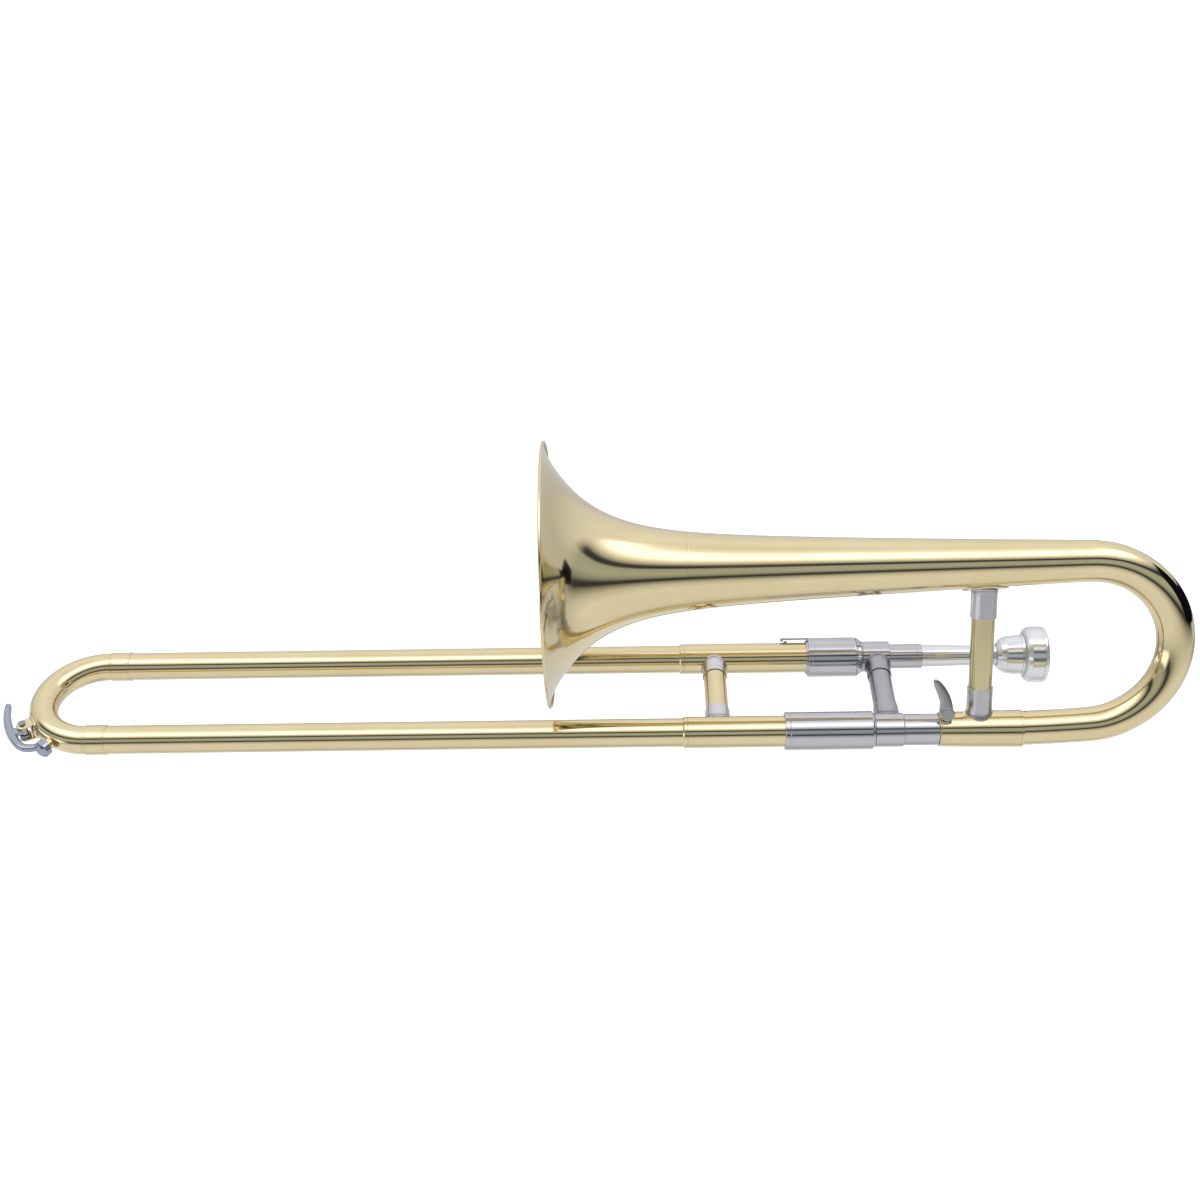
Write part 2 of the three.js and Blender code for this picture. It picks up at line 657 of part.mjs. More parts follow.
function buildBellSection() {
  buildBell();

  const bowR = (share) => 8 + 1.7 * share ** 2.2;
  const bow = bentTube(new BellBow(), 22, bowR, BELL_WALL);
  place(bellSection, "bell_bow", bow, brass);

  const socket = turned([
    [SOCKET_LEFT, SOCKET_BORE],
    [BELL_BOW_LEFT - 0.5, SOCKET_BORE],
    [BELL_BOW_LEFT - 0.5, 8.15],
    [SOCKET_RIGHT, 8.35],
    [SOCKET_RIGHT, SOCKET_END_R - 0.2],
    [SOCKET_RIGHT - 1.2, SOCKET_END_R],
    [SOCKET_LEFT + 12, SOCKET_END_R - 0.3],
    [SOCKET_LEFT, SOCKET_R],
  ]);
  const lugs = block(CLAMP_X - 2.1, CLAMP_X + 2.8, -3, 3, SOCKET_R - 0.6, CLAMP_Z + 2.1);
  const slit = block(SOCKET_LEFT - 1, CLAMP_X + 10, -SLIT / 2, SLIT / 2, 0, CLAMP_Z + 5);
  const hole = pin(-5, 5, CLAMP_SCREW_R + 0.1).translate(CLAMP_X, 0, CLAMP_Z);
  place(bellSection, "bell_socket", cut(join(socket, lugs), slit, hole), brass);

  const boss = -5.6;
  const screw = join(
    pin(boss - 1, 4.2, CLAMP_SCREW_R, 14),
    pin(boss - 1, -3.2, CLAMP_SCREW_R + 0.6, 14),
    pin(boss - 3.6, boss, CLAMP_BOSS_R, 16),
    plate(wingOutline(), boss - 3, boss - 1.2),
  );
  place(bellSection, "clamp_screw", screw.translate(CLAMP_X, 0, CLAMP_Z), nickel);

  const axisZ = BELL_Z - (BELL_END_X - BELL_BRACE_X) * Math.sin(BELL_TOE);
  const plateHalf = 11;
  const stemR = bellRadius(BELL_BRACE_X - plateHalf - BELL_RIM_X) + 0.1;
  const line = new THREE.Group();
  line.position.x = BELL_BRACE_X;
  bellSection.add(line);
  const lowerSocket = 20.8;
  const upperSocket = 14;
  const overlap = 3.6;
  const span = braceTube(lowerSocket - overlap, axisZ - stemR - upperSocket + overlap);
  place(line, "bell_brace_tube", span, brass);
  const foot = braceFoot(SOCKET_END_R, lowerSocket, FERRULE_R, BRACE_R + GAP / 2, 0.4);
  place(line, "bell_brace_foot_lower", foot, nickel);
  const top = braceFoot(stemR + 1.1, stemR + upperSocket, FERRULE_R + 0.1, BRACE_R + GAP / 2, 0);
  top.rotateX(Math.PI).translate(0, 0, axisZ);
  place(line, "bell_brace_foot_upper", top, nickel);
  const reach = degToRad(38);
  const saddle = ringPiece(
    -plateHalf, plateHalf, stemR + 0.15, stemR + 1.1, Math.PI - reach, Math.PI + reach,
  );
  place(line, "bell_brace_plate", saddle.translate(0, 0, axisZ), brass);
}

// The thumb wing of the clamp screw: a leaf that leans away from the player.
function wingOutline() {
  const length = 17.5;
  const steps = 7;
  const lean = (t) => -6.6 * t ** 1.9;
  const width = (t) => 3 * (1 - t ** 3.5) ** 0.6 + 0.3;
  const side = (sign) => Array.from({ length: steps + 1 }, (_, i) => {
    const t = i / steps;
    return [lean(t) + sign * width(t), length * t - 0.5];
  });
  return [...side(1), ...side(-1).reverse()];
}

buildInnerSlide();
buildSlideLock();
buildOuterSlide();
buildWaterKey();
buildMouthpiece();
buildBellSection();

export default trombone;
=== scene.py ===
"""Soprano trombone: smooth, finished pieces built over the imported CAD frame.

Sizes are in millimetres and turn into metres when a piece becomes an object. +X runs along the
slide towards the player, +Z rises from the slide to the bell, and the slide's frame is turned about
the X axis away from the bell's plane.
"""

from __future__ import annotations

import json
import logging
import math
from dataclasses import dataclass
from enum import Enum
from typing import Any, Callable, Sequence

import bpy
import numpy as np
from mathutils import Matrix

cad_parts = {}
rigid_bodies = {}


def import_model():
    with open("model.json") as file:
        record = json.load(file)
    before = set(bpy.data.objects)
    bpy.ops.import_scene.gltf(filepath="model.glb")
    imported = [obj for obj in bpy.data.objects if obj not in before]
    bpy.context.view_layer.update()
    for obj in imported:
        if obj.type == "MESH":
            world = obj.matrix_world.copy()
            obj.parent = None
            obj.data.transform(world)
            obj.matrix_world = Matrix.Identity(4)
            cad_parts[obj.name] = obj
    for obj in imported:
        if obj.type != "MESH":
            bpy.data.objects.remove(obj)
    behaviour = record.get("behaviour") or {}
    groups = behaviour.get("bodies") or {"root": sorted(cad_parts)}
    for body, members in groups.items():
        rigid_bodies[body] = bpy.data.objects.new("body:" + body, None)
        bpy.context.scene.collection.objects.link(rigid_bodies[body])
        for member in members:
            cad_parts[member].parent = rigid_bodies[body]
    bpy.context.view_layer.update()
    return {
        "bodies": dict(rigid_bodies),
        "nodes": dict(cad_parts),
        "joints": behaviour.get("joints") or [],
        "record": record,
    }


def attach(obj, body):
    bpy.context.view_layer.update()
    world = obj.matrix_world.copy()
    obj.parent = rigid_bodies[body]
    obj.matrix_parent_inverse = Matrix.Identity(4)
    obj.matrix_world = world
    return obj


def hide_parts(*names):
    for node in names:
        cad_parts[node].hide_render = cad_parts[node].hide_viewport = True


Array = np.ndarray
LOG = logging.getLogger("trombone")
Corner = tuple[float, float, float]  # x, radius and fillet
Rule = Callable[[Array], Array]  # a move of points, or a size along a piece
MM = 0.001
SMOOTH, FINE, SMALL = 96, 144, 64  # steps round a tube, a large piece and a small one
BRACE_RADIUS, BRACE_BORE = 5.4, 4.6  # every brace tube
FERRULE_RADIUS, FERRULE_BORE = 5.9, 5.46  # the end pieces that hold one
# A scribed line's sloping side, and the fillets at its edge and at its floor.
TURNED_LINE = (0.1, 0.08, 0.04)
FINE_LINE = (0.15, 0.05, 0.03)


# ---------------------------------------------------------------------------------------------
# Surfaces
# ---------------------------------------------------------------------------------------------


@dataclass
class Shell:
    """A closed mesh made of quads and triangles, with a wear value at each point.

    Wear is 1 on a proud edge, -1 in a crease and 0 on open metal.
    """

    points: Array
    wear: Array
    faces: list[Array]

    @classmethod
    def from_grid(cls, grid: Array, wear: Array | None = None, around: bool = True) -> "Shell":
        """Skins a grid of points, welds its seams and poles, and turns its faces outwards.

        Args:
            grid: Points, (rows, columns, 3), as rows of a closed loop or of a strip between
                two poles.
            wear: Wear at each row, or None for none.
            around: Whether the last row joins the first one.

        Returns:
            The closed shell.
        """
        rows, columns = grid.shape[:2]
        index = np.arange(rows * columns).reshape(rows, columns)
        low = index if around else index[:-1]
        high = np.roll(index, -1, axis=0) if around else index[1:]
        quads = np.stack(
            [low, high, np.roll(high, -1, axis=1), np.roll(low, -1, axis=1)], axis=-1
        ).reshape(-1, 4)
        points = grid.reshape(-1, 3)
        values = np.zeros(rows) if wear is None else np.asarray(wear, dtype=float)
        values = np.repeat(values, columns)
        keys = np.round(points * 5000).astype(np.int64)
        _, first, inverse = np.unique(keys, axis=0, return_index=True, return_inverse=True)
        quads = inverse.reshape(-1)[quads]
        same = quads == np.roll(quads, -1, axis=1)
        repeats = same.sum(axis=1)
        whole = quads[repeats == 0]
        thin = repeats == 1
        triangles = quads[thin][~same[thin]].reshape(-1, 3)
        shell = cls(points[first], values[first], [whole, triangles])
        return shell if shell.volume() > 0 else shell.turned_out()

    def volume(self) -> float:
        """Works out the signed volume: the sum over faces of three corners' box product over six.

        Returns:
            The volume in cubic millimetres, negative when the faces point inwards.
        """
        total = 0.0
        for block in self.faces:
            for last in range(2, block.shape[1]):
                a, b, c = (self.points[block[:, k]] for k in (0, last - 1, last))
                total += float(np.einsum("ij,ij->", a, np.cross(b, c))) / 6
        return total

    def turned_out(self) -> "Shell":
        """The same shell with every face reversed."""
        return Shell(self.points, self.wear, [block[:, ::-1] for block in self.faces])

    def moved(self, place: Rule) -> "Shell":
        """The same shell after a rigid move given as a function of its points."""
        return Shell(place(self.points), self.wear, self.faces)

    def __add__(self, other: "Shell") -> "Shell":
        """Puts both shells into one mesh.

        Args:
            other: The shell to add.

        Returns:
            The shell with both.
        """
        shift = len(self.points)
        faces = self.faces + [block + shift for block in other.faces]
        return Shell(
            np.concatenate([self.points, other.points]),
            np.concatenate([self.wear, other.wear]),
            faces,
        )


def rounded(corners: Sequence[Corner], closed: bool = True) -> Array:
    """Softens the corners of a profile with arcs, and keeps the straights between them straight.

    At a corner with fillet f and half angle h the arc touches both sides f / tan(h) away from it.
    One more point a little beyond each end of the arc stops the shading from spreading.

    Args:
        corners: x, radius and fillet of each corner, in millimetres.
        closed: Whether the profile runs back to its first corner.

    Returns:
        One row of x, radius and wear for each point of the softened profile.
    """
    data = np.asarray(corners, dtype=float)
    count = len(data)
    path = data[:, :2]
    area = 0.5 * np.sum(
        path[:, 0] * np.roll(path[:, 1], -1) - np.roll(path[:, 0], -1) * path[:, 1]
    )
    rows: list[list[float]] = []
    for i, (x, r, fillet) in enumerate(data):
        if fillet <= 0 or (not closed and i in (0, count - 1)):
            rows.append([x, r, 0.0])
            continue
        here = path[i]
        back, ahead = path[i - 1] - here, path[(i + 1) % count] - here
        reach = 0.45 * min(np.linalg.norm(back), np.linalg.norm(ahead))
        back, ahead = back / np.linalg.norm(back), ahead / np.linalg.norm(ahead)
        half = 0.5 * math.acos(float(np.clip(back @ ahead, -0.9999, 0.9999)))
        touch = min(fillet / math.tan(half), reach)
        radius = touch * math.tan(half)
        middle = back + ahead
        centre = here + middle / np.linalg.norm(middle) * (radius / math.sin(half))
        side = float(np.sign((back[0] * ahead[1] - back[1] * ahead[0]) * area))
        support = 0.35 * touch
        start = here + back * touch - centre
        end = here + ahead * touch - centre
        rows.append([*(here + back * (touch + support)), 0.0])
        for share in np.linspace(0, 1, 5):
            spoke = start * (1 - share) + end * share
            spoke = spoke / np.linalg.norm(spoke) * radius
            rows.append([*(centre + spoke), -side])
        rows.append([*(here + ahead * (touch + support)), 0.0])
    return np.array(rows)


def lathe_grid(profile: Array, segments: int = SMOOTH) -> Array:
    """Turns a profile about the X axis: each point goes round at (x, -r sin a, r cos a).

    Args:
        profile: Rows that start with x and radius.
        segments: Steps round the axis.

    Returns:
        A grid with a row of points for each point of the profile.
    """
    angle = np.linspace(0, 2 * math.pi, segments, endpoint=False)
    x = np.repeat(profile[:, :1], segments, axis=1)
    y = -profile[:, 1:2] * np.sin(angle)
    z = profile[:, 1:2] * np.cos(angle)
    return np.stack([x, y, z], axis=-1)


def turned(corners: Sequence[Corner], segments: int = SMOOTH, closed: bool = True) -> Shell:
    """Turns a softened profile into a shell about the X axis.

    Args:
        corners: x, radius and fillet of each corner.
        segments: Steps round the axis.
        closed: True for a ring, False for a solid whose profile starts and ends on the axis.

    Returns:
        The turned shell.
    """
    profile = rounded(corners, closed)
    return Shell.from_grid(lathe_grid(profile, segments), profile[:, 2], around=closed)


def groove(
    start: float, end: float, radii: tuple[float, float, float], cut: Corner = TURNED_LINE
) -> list[Corner]:
    """The four corners of a line turned into a profile that runs towards -X.

    Args:
        start: x where the line begins.
        end: x where it ends.
        radii: Radius before it, at its floor and after it.
        cut: Length of its sloping sides, and the fillets at its edges and at its floor.

    Returns:
        The corners, as x, radius and fillet.
    """
    before, floor, after = radii
    run, edge, low = cut
    return [
        (start, before, edge),
        (start - run, floor, low),
        (end + run, floor, low),
        (end, after, edge),
    ]


def pipe(left: float, right: float, outer: float, bore: float) -> Shell:
    """A plain tube along X with softened ends.

    Args:
        left: Its left end.
        right: Its right end.
        outer: Outer radius.
        bore: Inner radius.

    Returns:
        The tube.
    """
    soft = 0.12
    return turned([(left, bore, 0), (right, bore, 0), (right, outer, soft), (left, outer, soft)])


@dataclass
class Path:
    """A smooth curve in a plane of constant Y, as samples of its length, place and direction."""

    length: Array
    x: Array
    z: Array

    @classmethod
    def through(cls, knots: Array, samples: int = 900) -> "Path":
        """Runs a natural cubic spline through knots, so that its curvature has no jumps.

        The second derivatives solve the usual tridiagonal system, with none at either end.

        Args:
            knots: x and z of each knot, (n, 2).
            samples: Points taken along the curve.

        Returns:
            The sampled curve.
        """
        chord = np.concatenate([[0], np.cumsum(np.linalg.norm(np.diff(knots, axis=0), axis=1))])
        step = np.diff(chord)
        count = len(knots)
        matrix = np.eye(count)
        slopes = np.zeros((count, 2))
        inner = np.arange(1, count - 1)
        matrix[inner, inner - 1] = step[:-1]
        matrix[inner, inner] = 2 * (step[:-1] + step[1:])
        matrix[inner, inner + 1] = step[1:]
        rise = np.diff(knots, axis=0) / step[:, None]
        slopes[inner] = 6 * (rise[1:] - rise[:-1])
        bend = np.linalg.solve(matrix, slopes)
        at = np.linspace(0, chord[-1], samples)
        cell = np.clip(np.searchsorted(chord, at, side="right") - 1, 0, count - 2)
        low, high = at - chord[cell], chord[cell + 1] - at
        width = step[cell]
        low, high, width = low[:, None], high[:, None], width[:, None]
        points = (
            bend[cell] * high**3 / (6 * width)
            + bend[cell + 1] * low**3 / (6 * width)
            + (knots[cell] / width - bend[cell] * width / 6) * high
            + (knots[cell + 1] / width - bend[cell + 1] * width / 6) * low
        )
        run = np.concatenate([[0], np.cumsum(np.linalg.norm(np.diff(points, axis=0), axis=1))])
        return cls(run, points[:, 0], points[:, 1])

    @classmethod
    def arc(cls, centre: tuple[float, float], radius: float, start: float, end: float) -> "Path":
        """A circular arc between two angles measured from +X towards +Z.

        Args:
            centre: x and z of its centre.
            radius: Its radius.
            start: First angle, in radians.
            end: Last angle.

        Returns:
            The sampled arc.
        """
        angle = np.linspace(start, end, 500)
        length = radius * np.abs(angle - start)
        return cls(
            length, centre[0] + radius * np.cos(angle), centre[1] + radius * np.sin(angle)
        )

    @property
    def total(self) -> float:
        """The curve's whole length."""
        return float(self.length[-1])

    def bend(self, grid: Array) -> Array:
        """Carries points that lie along X from 0 to the whole length onto the curve.

        A point's x becomes a distance along the curve, its z a height along the normal in the
        plane, and its y stays.

        Args:
            grid: Points, with their last axis x, y and z.

        Returns:
            The bent points.
        """
        along = grid[..., 0]
        tangent = np.stack(
            [np.gradient(self.x, self.length), np.gradient(self.z, self.length)], axis=-1
        )
        tangent /= np.linalg.norm(tangent, axis=1, keepdims=True)
        tx = np.interp(along, self.length, tangent[:, 0])
        tz = np.interp(along, self.length, tangent[:, 1])
        size = np.hypot(tx, tz)
        x = np.interp(along, self.length, self.x) - grid[..., 2] * tz / size
        z = np.interp(along, self.length, self.z) + grid[..., 2] * tx / size
        return np.stack([x, grid[..., 1], z], axis=-1)


def bent_pipe(path: Path, radius: Rule, wall: float, rings: int = 160) -> Shell:
    """A tube that follows a path, with one more ring close to each end to keep it crisp.

    Args:
        path: The path of its axis.
        radius: Outer radius as a function of the share of the length.
        wall: Thickness of its wall.
        rings: Rings along it.

    Returns:
        The bent shell, open right through.
    """
    crisp = 0.03 / path.total
    share = np.concatenate([[0], np.linspace(crisp, 1 - crisp, rings), [1]])
    outer = np.stack([share * path.total, radius(share)], axis=-1)
    inner = outer[::-1] - np.array([0, wall])
    profile = np.concatenate([outer, inner])
    return Shell.from_grid(path.bend(lathe_grid(profile)))


def steady(value: float) -> Rule:
    """A size that stays the same all along a piece."""
    return lambda share: np.full_like(share, value)


def rising(x: float, low: float, high: float) -> Callable[[Array], tuple[Array, Array]]:
    """A straight path at one x, from one height to another."""
    return lambda share: (np.full_like(share, x), low + share * (high - low))


def blade(
    path: Callable[[Array], tuple[Array, Array]],
    thick: Rule,
    wide: Rule,
    middle: float = 0.0,
    power: float = 4.0,
    ends: float = 0.06,
    rings: int = 56,
    segments: int = 48,
) -> Shell:
    """A bar with softly squared edges along a path in the XZ plane, closed and rounded at its ends.

    Its section is the superellipse |u / thick|^power + |v / wide|^power = 1, with v along Y. Near
    each end the section shrinks as a quarter of an ellipse does.

    Args:
        path: x and z as functions of the share of the length.
        thick: Half thickness in the plane.
        wide: Half width along Y.
        middle: y of the bar's middle.
        power: How square the section is; 2 is an ellipse.
        ends: Share of the length over which each end rounds off.
        rings: Sections along the bar.
        segments: Points round a section.

    Returns:
        The closed bar.
    """
    share = 0.5 - 0.5 * np.cos(np.linspace(0, math.pi, rings))
    nearest = np.clip(np.minimum(share, 1 - share) / ends, 0, 1)
    shrink = np.sqrt(1 - (1 - nearest) ** 2)
    x, z = path(share)
    tx, tz = np.gradient(x, share), np.gradient(z, share)
    size = np.hypot(tx, tz)
    angle = np.linspace(0, 2 * math.pi, segments, endpoint=False)
    cos, sin = np.cos(angle), np.sin(angle)
    u = np.sign(cos) * np.abs(cos) ** (2 / power)
    v = np.sign(sin) * np.abs(sin) ** (2 / power)
    across = (thick(share) * shrink)[:, None] * u
    grid = np.stack(
        [
            x[:, None] - across * (tz / size)[:, None],
            middle + (wide(share) * shrink)[:, None] * v,
            z[:, None] + across * (tx / size)[:, None],
        ],
        axis=-1,
    )
    return Shell.from_grid(grid, around=False)


def patch(
    half_u: float,
    half_v: float,
    height: float,
    lay: Callable[[Array, Array, Array], Array],
    power: float = 2.2,
    sunk: float = 0.5,
) -> Shell:
    """A thin plate with a rounded edge, laid on a curved surface.

    Its outline is the superellipse |u / half_u|^power + |v / half_v|^power = 1. It is level up to
    nine tenths of the way out, and falls off as a quarter circle to its foot.

    Args:
        half_u: Half size along u.
        half_v: Half size along v.
        height: Thickness over the surface.
        lay: Maps u, v and height onto the surface.
        power: How square the outline is.
        sunk: How far the underside lies inside the surface.

    Returns:
        The closed plate.
    """
    level, across, below = 0.9, 10, 7
    turn = np.linspace(0, math.pi / 2, 7)
    edge = level + (1 - level) * np.sin(turn)
    under = np.linspace(1, 0, below + 1)[1:]
    reach = np.concatenate([np.linspace(0, level, across), edge, [1.0], under])
    rise = np.concatenate(
        [np.full(across, height), height * np.cos(turn), np.full(1 + below, -sunk)]
    )
    angle = np.linspace(0, 2 * math.pi, SMOOTH, endpoint=False)
    cos, sin = np.cos(angle), np.sin(angle)
    u = half_u * np.sign(cos) * np.abs(cos) ** (2 / power)
    v = half_v * np.sign(sin) * np.abs(sin) ** (2 / power)
    grid = lay(reach[:, None] * u, reach[:, None] * v, np.repeat(rise[:, None], SMOOTH, axis=1))
    return Shell.from_grid(grid, around=False)


def saddled_ferrule(
    tube: float, height: float, flange: float, radius: float = FERRULE_RADIUS
) -> Shell:
    """A brace's end piece, standing along +Z with its foot fitted to a tube that lies along X.

    Over the foot a point at radius r and angle a rests at the height of the tube's surface there,
    sqrt(tube^2 - (r sin a)^2). That saddle dies away up the ferrule. A hollow fillet leads from the
    flange into the ferrule.

    Args:
        tube: Radius of the tube that it stands on.
        height: Height of its open end over the tube's axis.
        flange: How far its foot spreads.
        radius: Its own radius.

    Returns:
        The closed ring.
    """
    curl = np.linspace(0, math.pi / 2, 9)
    fillet, waist, lip_depth, saddle_depth, seat_gap = 1.8, 2.6, 9, 4.5, 0.03
    rise = [0.0, 0.25, 0.45, 0.55]
    out = [flange, flange, flange * 0.96, flange * 0.85]
    rise += list(0.6 + fillet * (1 - np.cos(curl)))
    out += list(0.8 * flange * (1 - np.sin(curl)))
    wall = FERRULE_BORE - radius
    lip = rounded([(0, 0, 0), (lip_depth, 0, 0.35), (lip_depth, wall, 0.2), (3, wall, 0)], False)
    rise_top = height - tube - lip_depth + lip[1:, 0]
    radii = np.concatenate([radius + np.array(out), radius + lip[1:, 1], [FERRULE_BORE]])
    heights = np.concatenate([rise, np.maximum(rise_top, waist), [0.0]])
    wear = np.concatenate([[-1, 1, 1, 0], np.linspace(-0.8, 0, 9), lip[1:, 2], [0]])
    angle = np.linspace(0, 2 * math.pi, SMOOTH, endpoint=False)
    seat = np.sqrt(np.maximum(tube**2 - (radii[:, None] * np.sin(angle)) ** 2, 0)) + seat_gap
    fade = np.clip(heights / saddle_depth, 0, 1)[:, None] ** 1.5
    z = seat * (1 - fade) + tube * fade + heights[:, None]
    grid = np.stack(
        [radii[:, None] * np.cos(angle), radii[:, None] * np.sin(angle), z], axis=-1
    )
    return Shell.from_grid(grid, wear)


# ---------------------------------------------------------------------------------------------
# Places
# ---------------------------------------------------------------------------------------------


def upright(points: Array) -> Array:
    """Stands a piece that lies along X up along Z."""
    return np.stack([-points[..., 2], points[..., 1], points[..., 0]], axis=-1)


def crosswise(points: Array) -> Array:
    """Turns a piece that lies along X to lie along Y."""
    return np.stack([-points[..., 1], points[..., 0], points[..., 2]], axis=-1)


def shifted(x: float = 0.0, y: float = 0.0, z: float = 0.0) -> Rule:
    """A move by x, y and z."""
    offset = np.array([x, y, z])
    return lambda points: points + offset


def rolled(angle: float) -> Rule:
    """A turn about the X axis that takes +Z towards -Y.

    Args:
        angle: The turn, in radians.

    Returns:
        The move, as a function of points.
    """
    cos, sin = math.cos(angle), math.sin(angle)
    return lambda points: np.stack(
        [
            points[..., 0],
            points[..., 1] * cos - points[..., 2] * sin,
            points[..., 1] * sin + points[..., 2] * cos,
        ],
        axis=-1,
    )


def brace_tube(low: float, high: float) -> Shell:
    """A brace's tube, upright between two heights."""
    return pipe(low, high, BRACE_RADIUS, BRACE_BORE).moved(upright)


@dataclass(frozen=True)
class SlideFrame:
    """Where the slide's two tubes lie."""

    spacing: float = 52.5
    lean: float = math.radians(67.2)

    def lower(self, points: Array) -> Array:
        """Leans a piece of the bell-side tube into place."""
        return rolled(-self.lean)(points)

    def upper(self, points: Array) -> Array:
        """Leans a piece of the mouthpiece-side tube into place."""
        return self.lower(points + np.array([0, 0, self.spacing]))

    def facing_down(self, points: Array) -> Array:
        """Hangs a piece that stands along +Z from the mouthpiece-side tube."""
        return self.upper(points * np.array([1, -1, -1]))


SLIDE = SlideFrame()


# ---------------------------------------------------------------------------------------------
# Finishes
# ---------------------------------------------------------------------------------------------


class Value:
    """A number in a shader, which adds its Math nodes as it is worked with."""

    def __init__(self, bench: "Bench", socket: Any) -> None:
        """Wraps a socket of the bench's node tree."""
        self.bench = bench
        self.socket = socket

    def _math(self, operation: str, first: Any, second: Any) -> "Value":
        """Adds one Math node on two numbers or sockets."""
        return self.bench.node("ShaderNodeMath", {"operation": operation}, {0: first, 1: second})

    def __add__(self, other: Any) -> "Value":
        """Sum."""
        return self._math("ADD", self, other)

    __radd__ = __add__

    def __rsub__(self, other: Any) -> "Value":
        """Difference from a plain number."""
        return self._math("SUBTRACT", other, self)

    def __mul__(self, other: Any) -> "Value":
        """Product."""
        return self._math("MULTIPLY", self, other)

    __rmul__ = __mul__

    def __truediv__(self, other: Any) -> "Value":
        """Quotient."""
        return self._math("DIVIDE", self, other)

    def __pow__(self, other: Any) -> "Value":
        """Power."""
        return self._math("POWER", self, other)


class Bench:
    """A node tree under construction."""

    def __init__(self, tree: bpy.types.NodeTree) -> None:
        """Starts on an empty tree."""
        self.tree = tree
        tree.nodes.clear()

    def node(
        self,
        kind: str,
        settings: dict[str, Any] | None = None,
        inputs: dict[Any, Any] | None = None,
        output: int | str = 0,
    ) -> Value:
        """Adds a node.

        Args:
            kind: The node's type.
            settings: Its properties, set first; "stops" holds a ramp's positions and colours.
            inputs: Plain values or links for its sockets, by name or number.
            output: Which output to hand back.

        Returns:
            The chosen output.
        """
        made = self.tree.nodes.new(kind)
        for name, value in (settings or {}).items():
            if name == "stops":
                self._set_stops(made.color_ramp, value)
            else:
                setattr(made, name, value)
        for name, value in (inputs or {}).items():
            if isinstance(value, Value):
                self.tree.links.new(value.socket, made.inputs[name])
            else:
                made.inputs[name].default_value = value
        return Value(self, made.outputs[output] if len(made.outputs) else None)

    @staticmethod
    def _set_stops(ramp: Any, stops: Sequence[tuple[float, Sequence[float]]]) -> None:
        """Gives a ramp its stops.

        Args:
            ramp: The node's colour ramp, fresh and with two stops.
            stops: Position and colour of each stop.
        """
        while len(ramp.elements) < len(stops):
            ramp.elements.new(0.5)
        for element, (position, colour) in zip(ramp.elements, stops):
            element.position = position
            element.color = (*colour, 1.0)

    def ramp(self, factor: Value, stops: Sequence[tuple[float, Sequence[float]]]) -> Value:
        """A colour ramp on a factor."""
        return self.node("ShaderNodeValToRGB", {"stops": stops}, {0: factor})

    def noise(self, place: Value, scale: float, detail: float, rough: float = 0.5) -> Value:
        """Fractal noise between 0 and 1."""
        sockets = {"Vector": place, "Scale": scale, "Detail": detail, "Roughness": rough}
        return self.node("ShaderNodeTexNoise", inputs=sockets)

    def stretched(self, place: Value, scale: tuple[float, float, float]) -> Value:
        """Coordinates stretched along the axes."""
        return self.node("ShaderNodeMapping", inputs={"Vector": place, "Scale": scale})

    def mixed(self, factor: Any, first: Any, second: Any) -> Value:
        """A blend of two colours."""
        sockets = {0: factor, 6: first, 7: second}
        return self.node("ShaderNodeMix", {"data_type": "RGBA"}, sockets, output=2)

    def between(self, value: Value, low: float, high: float) -> Value:
        """0 below low, 1 above high and a smooth step between them."""
        sockets = {"Value": value, "From Min": low, "From Max": high}
        return self.node("ShaderNodeMapRange", {"interpolation_type": "SMOOTHSTEP"}, sockets)


class Grain(Enum):
    """The way a polisher's marks run on a piece."""

    ROUND_THE_TUBE = (2600.0, 60.0, 60.0)
    UP_THE_BRACE = (140.0, 140.0, 2200.0)
    ALL_WAYS = (420.0, 420.0, 420.0)


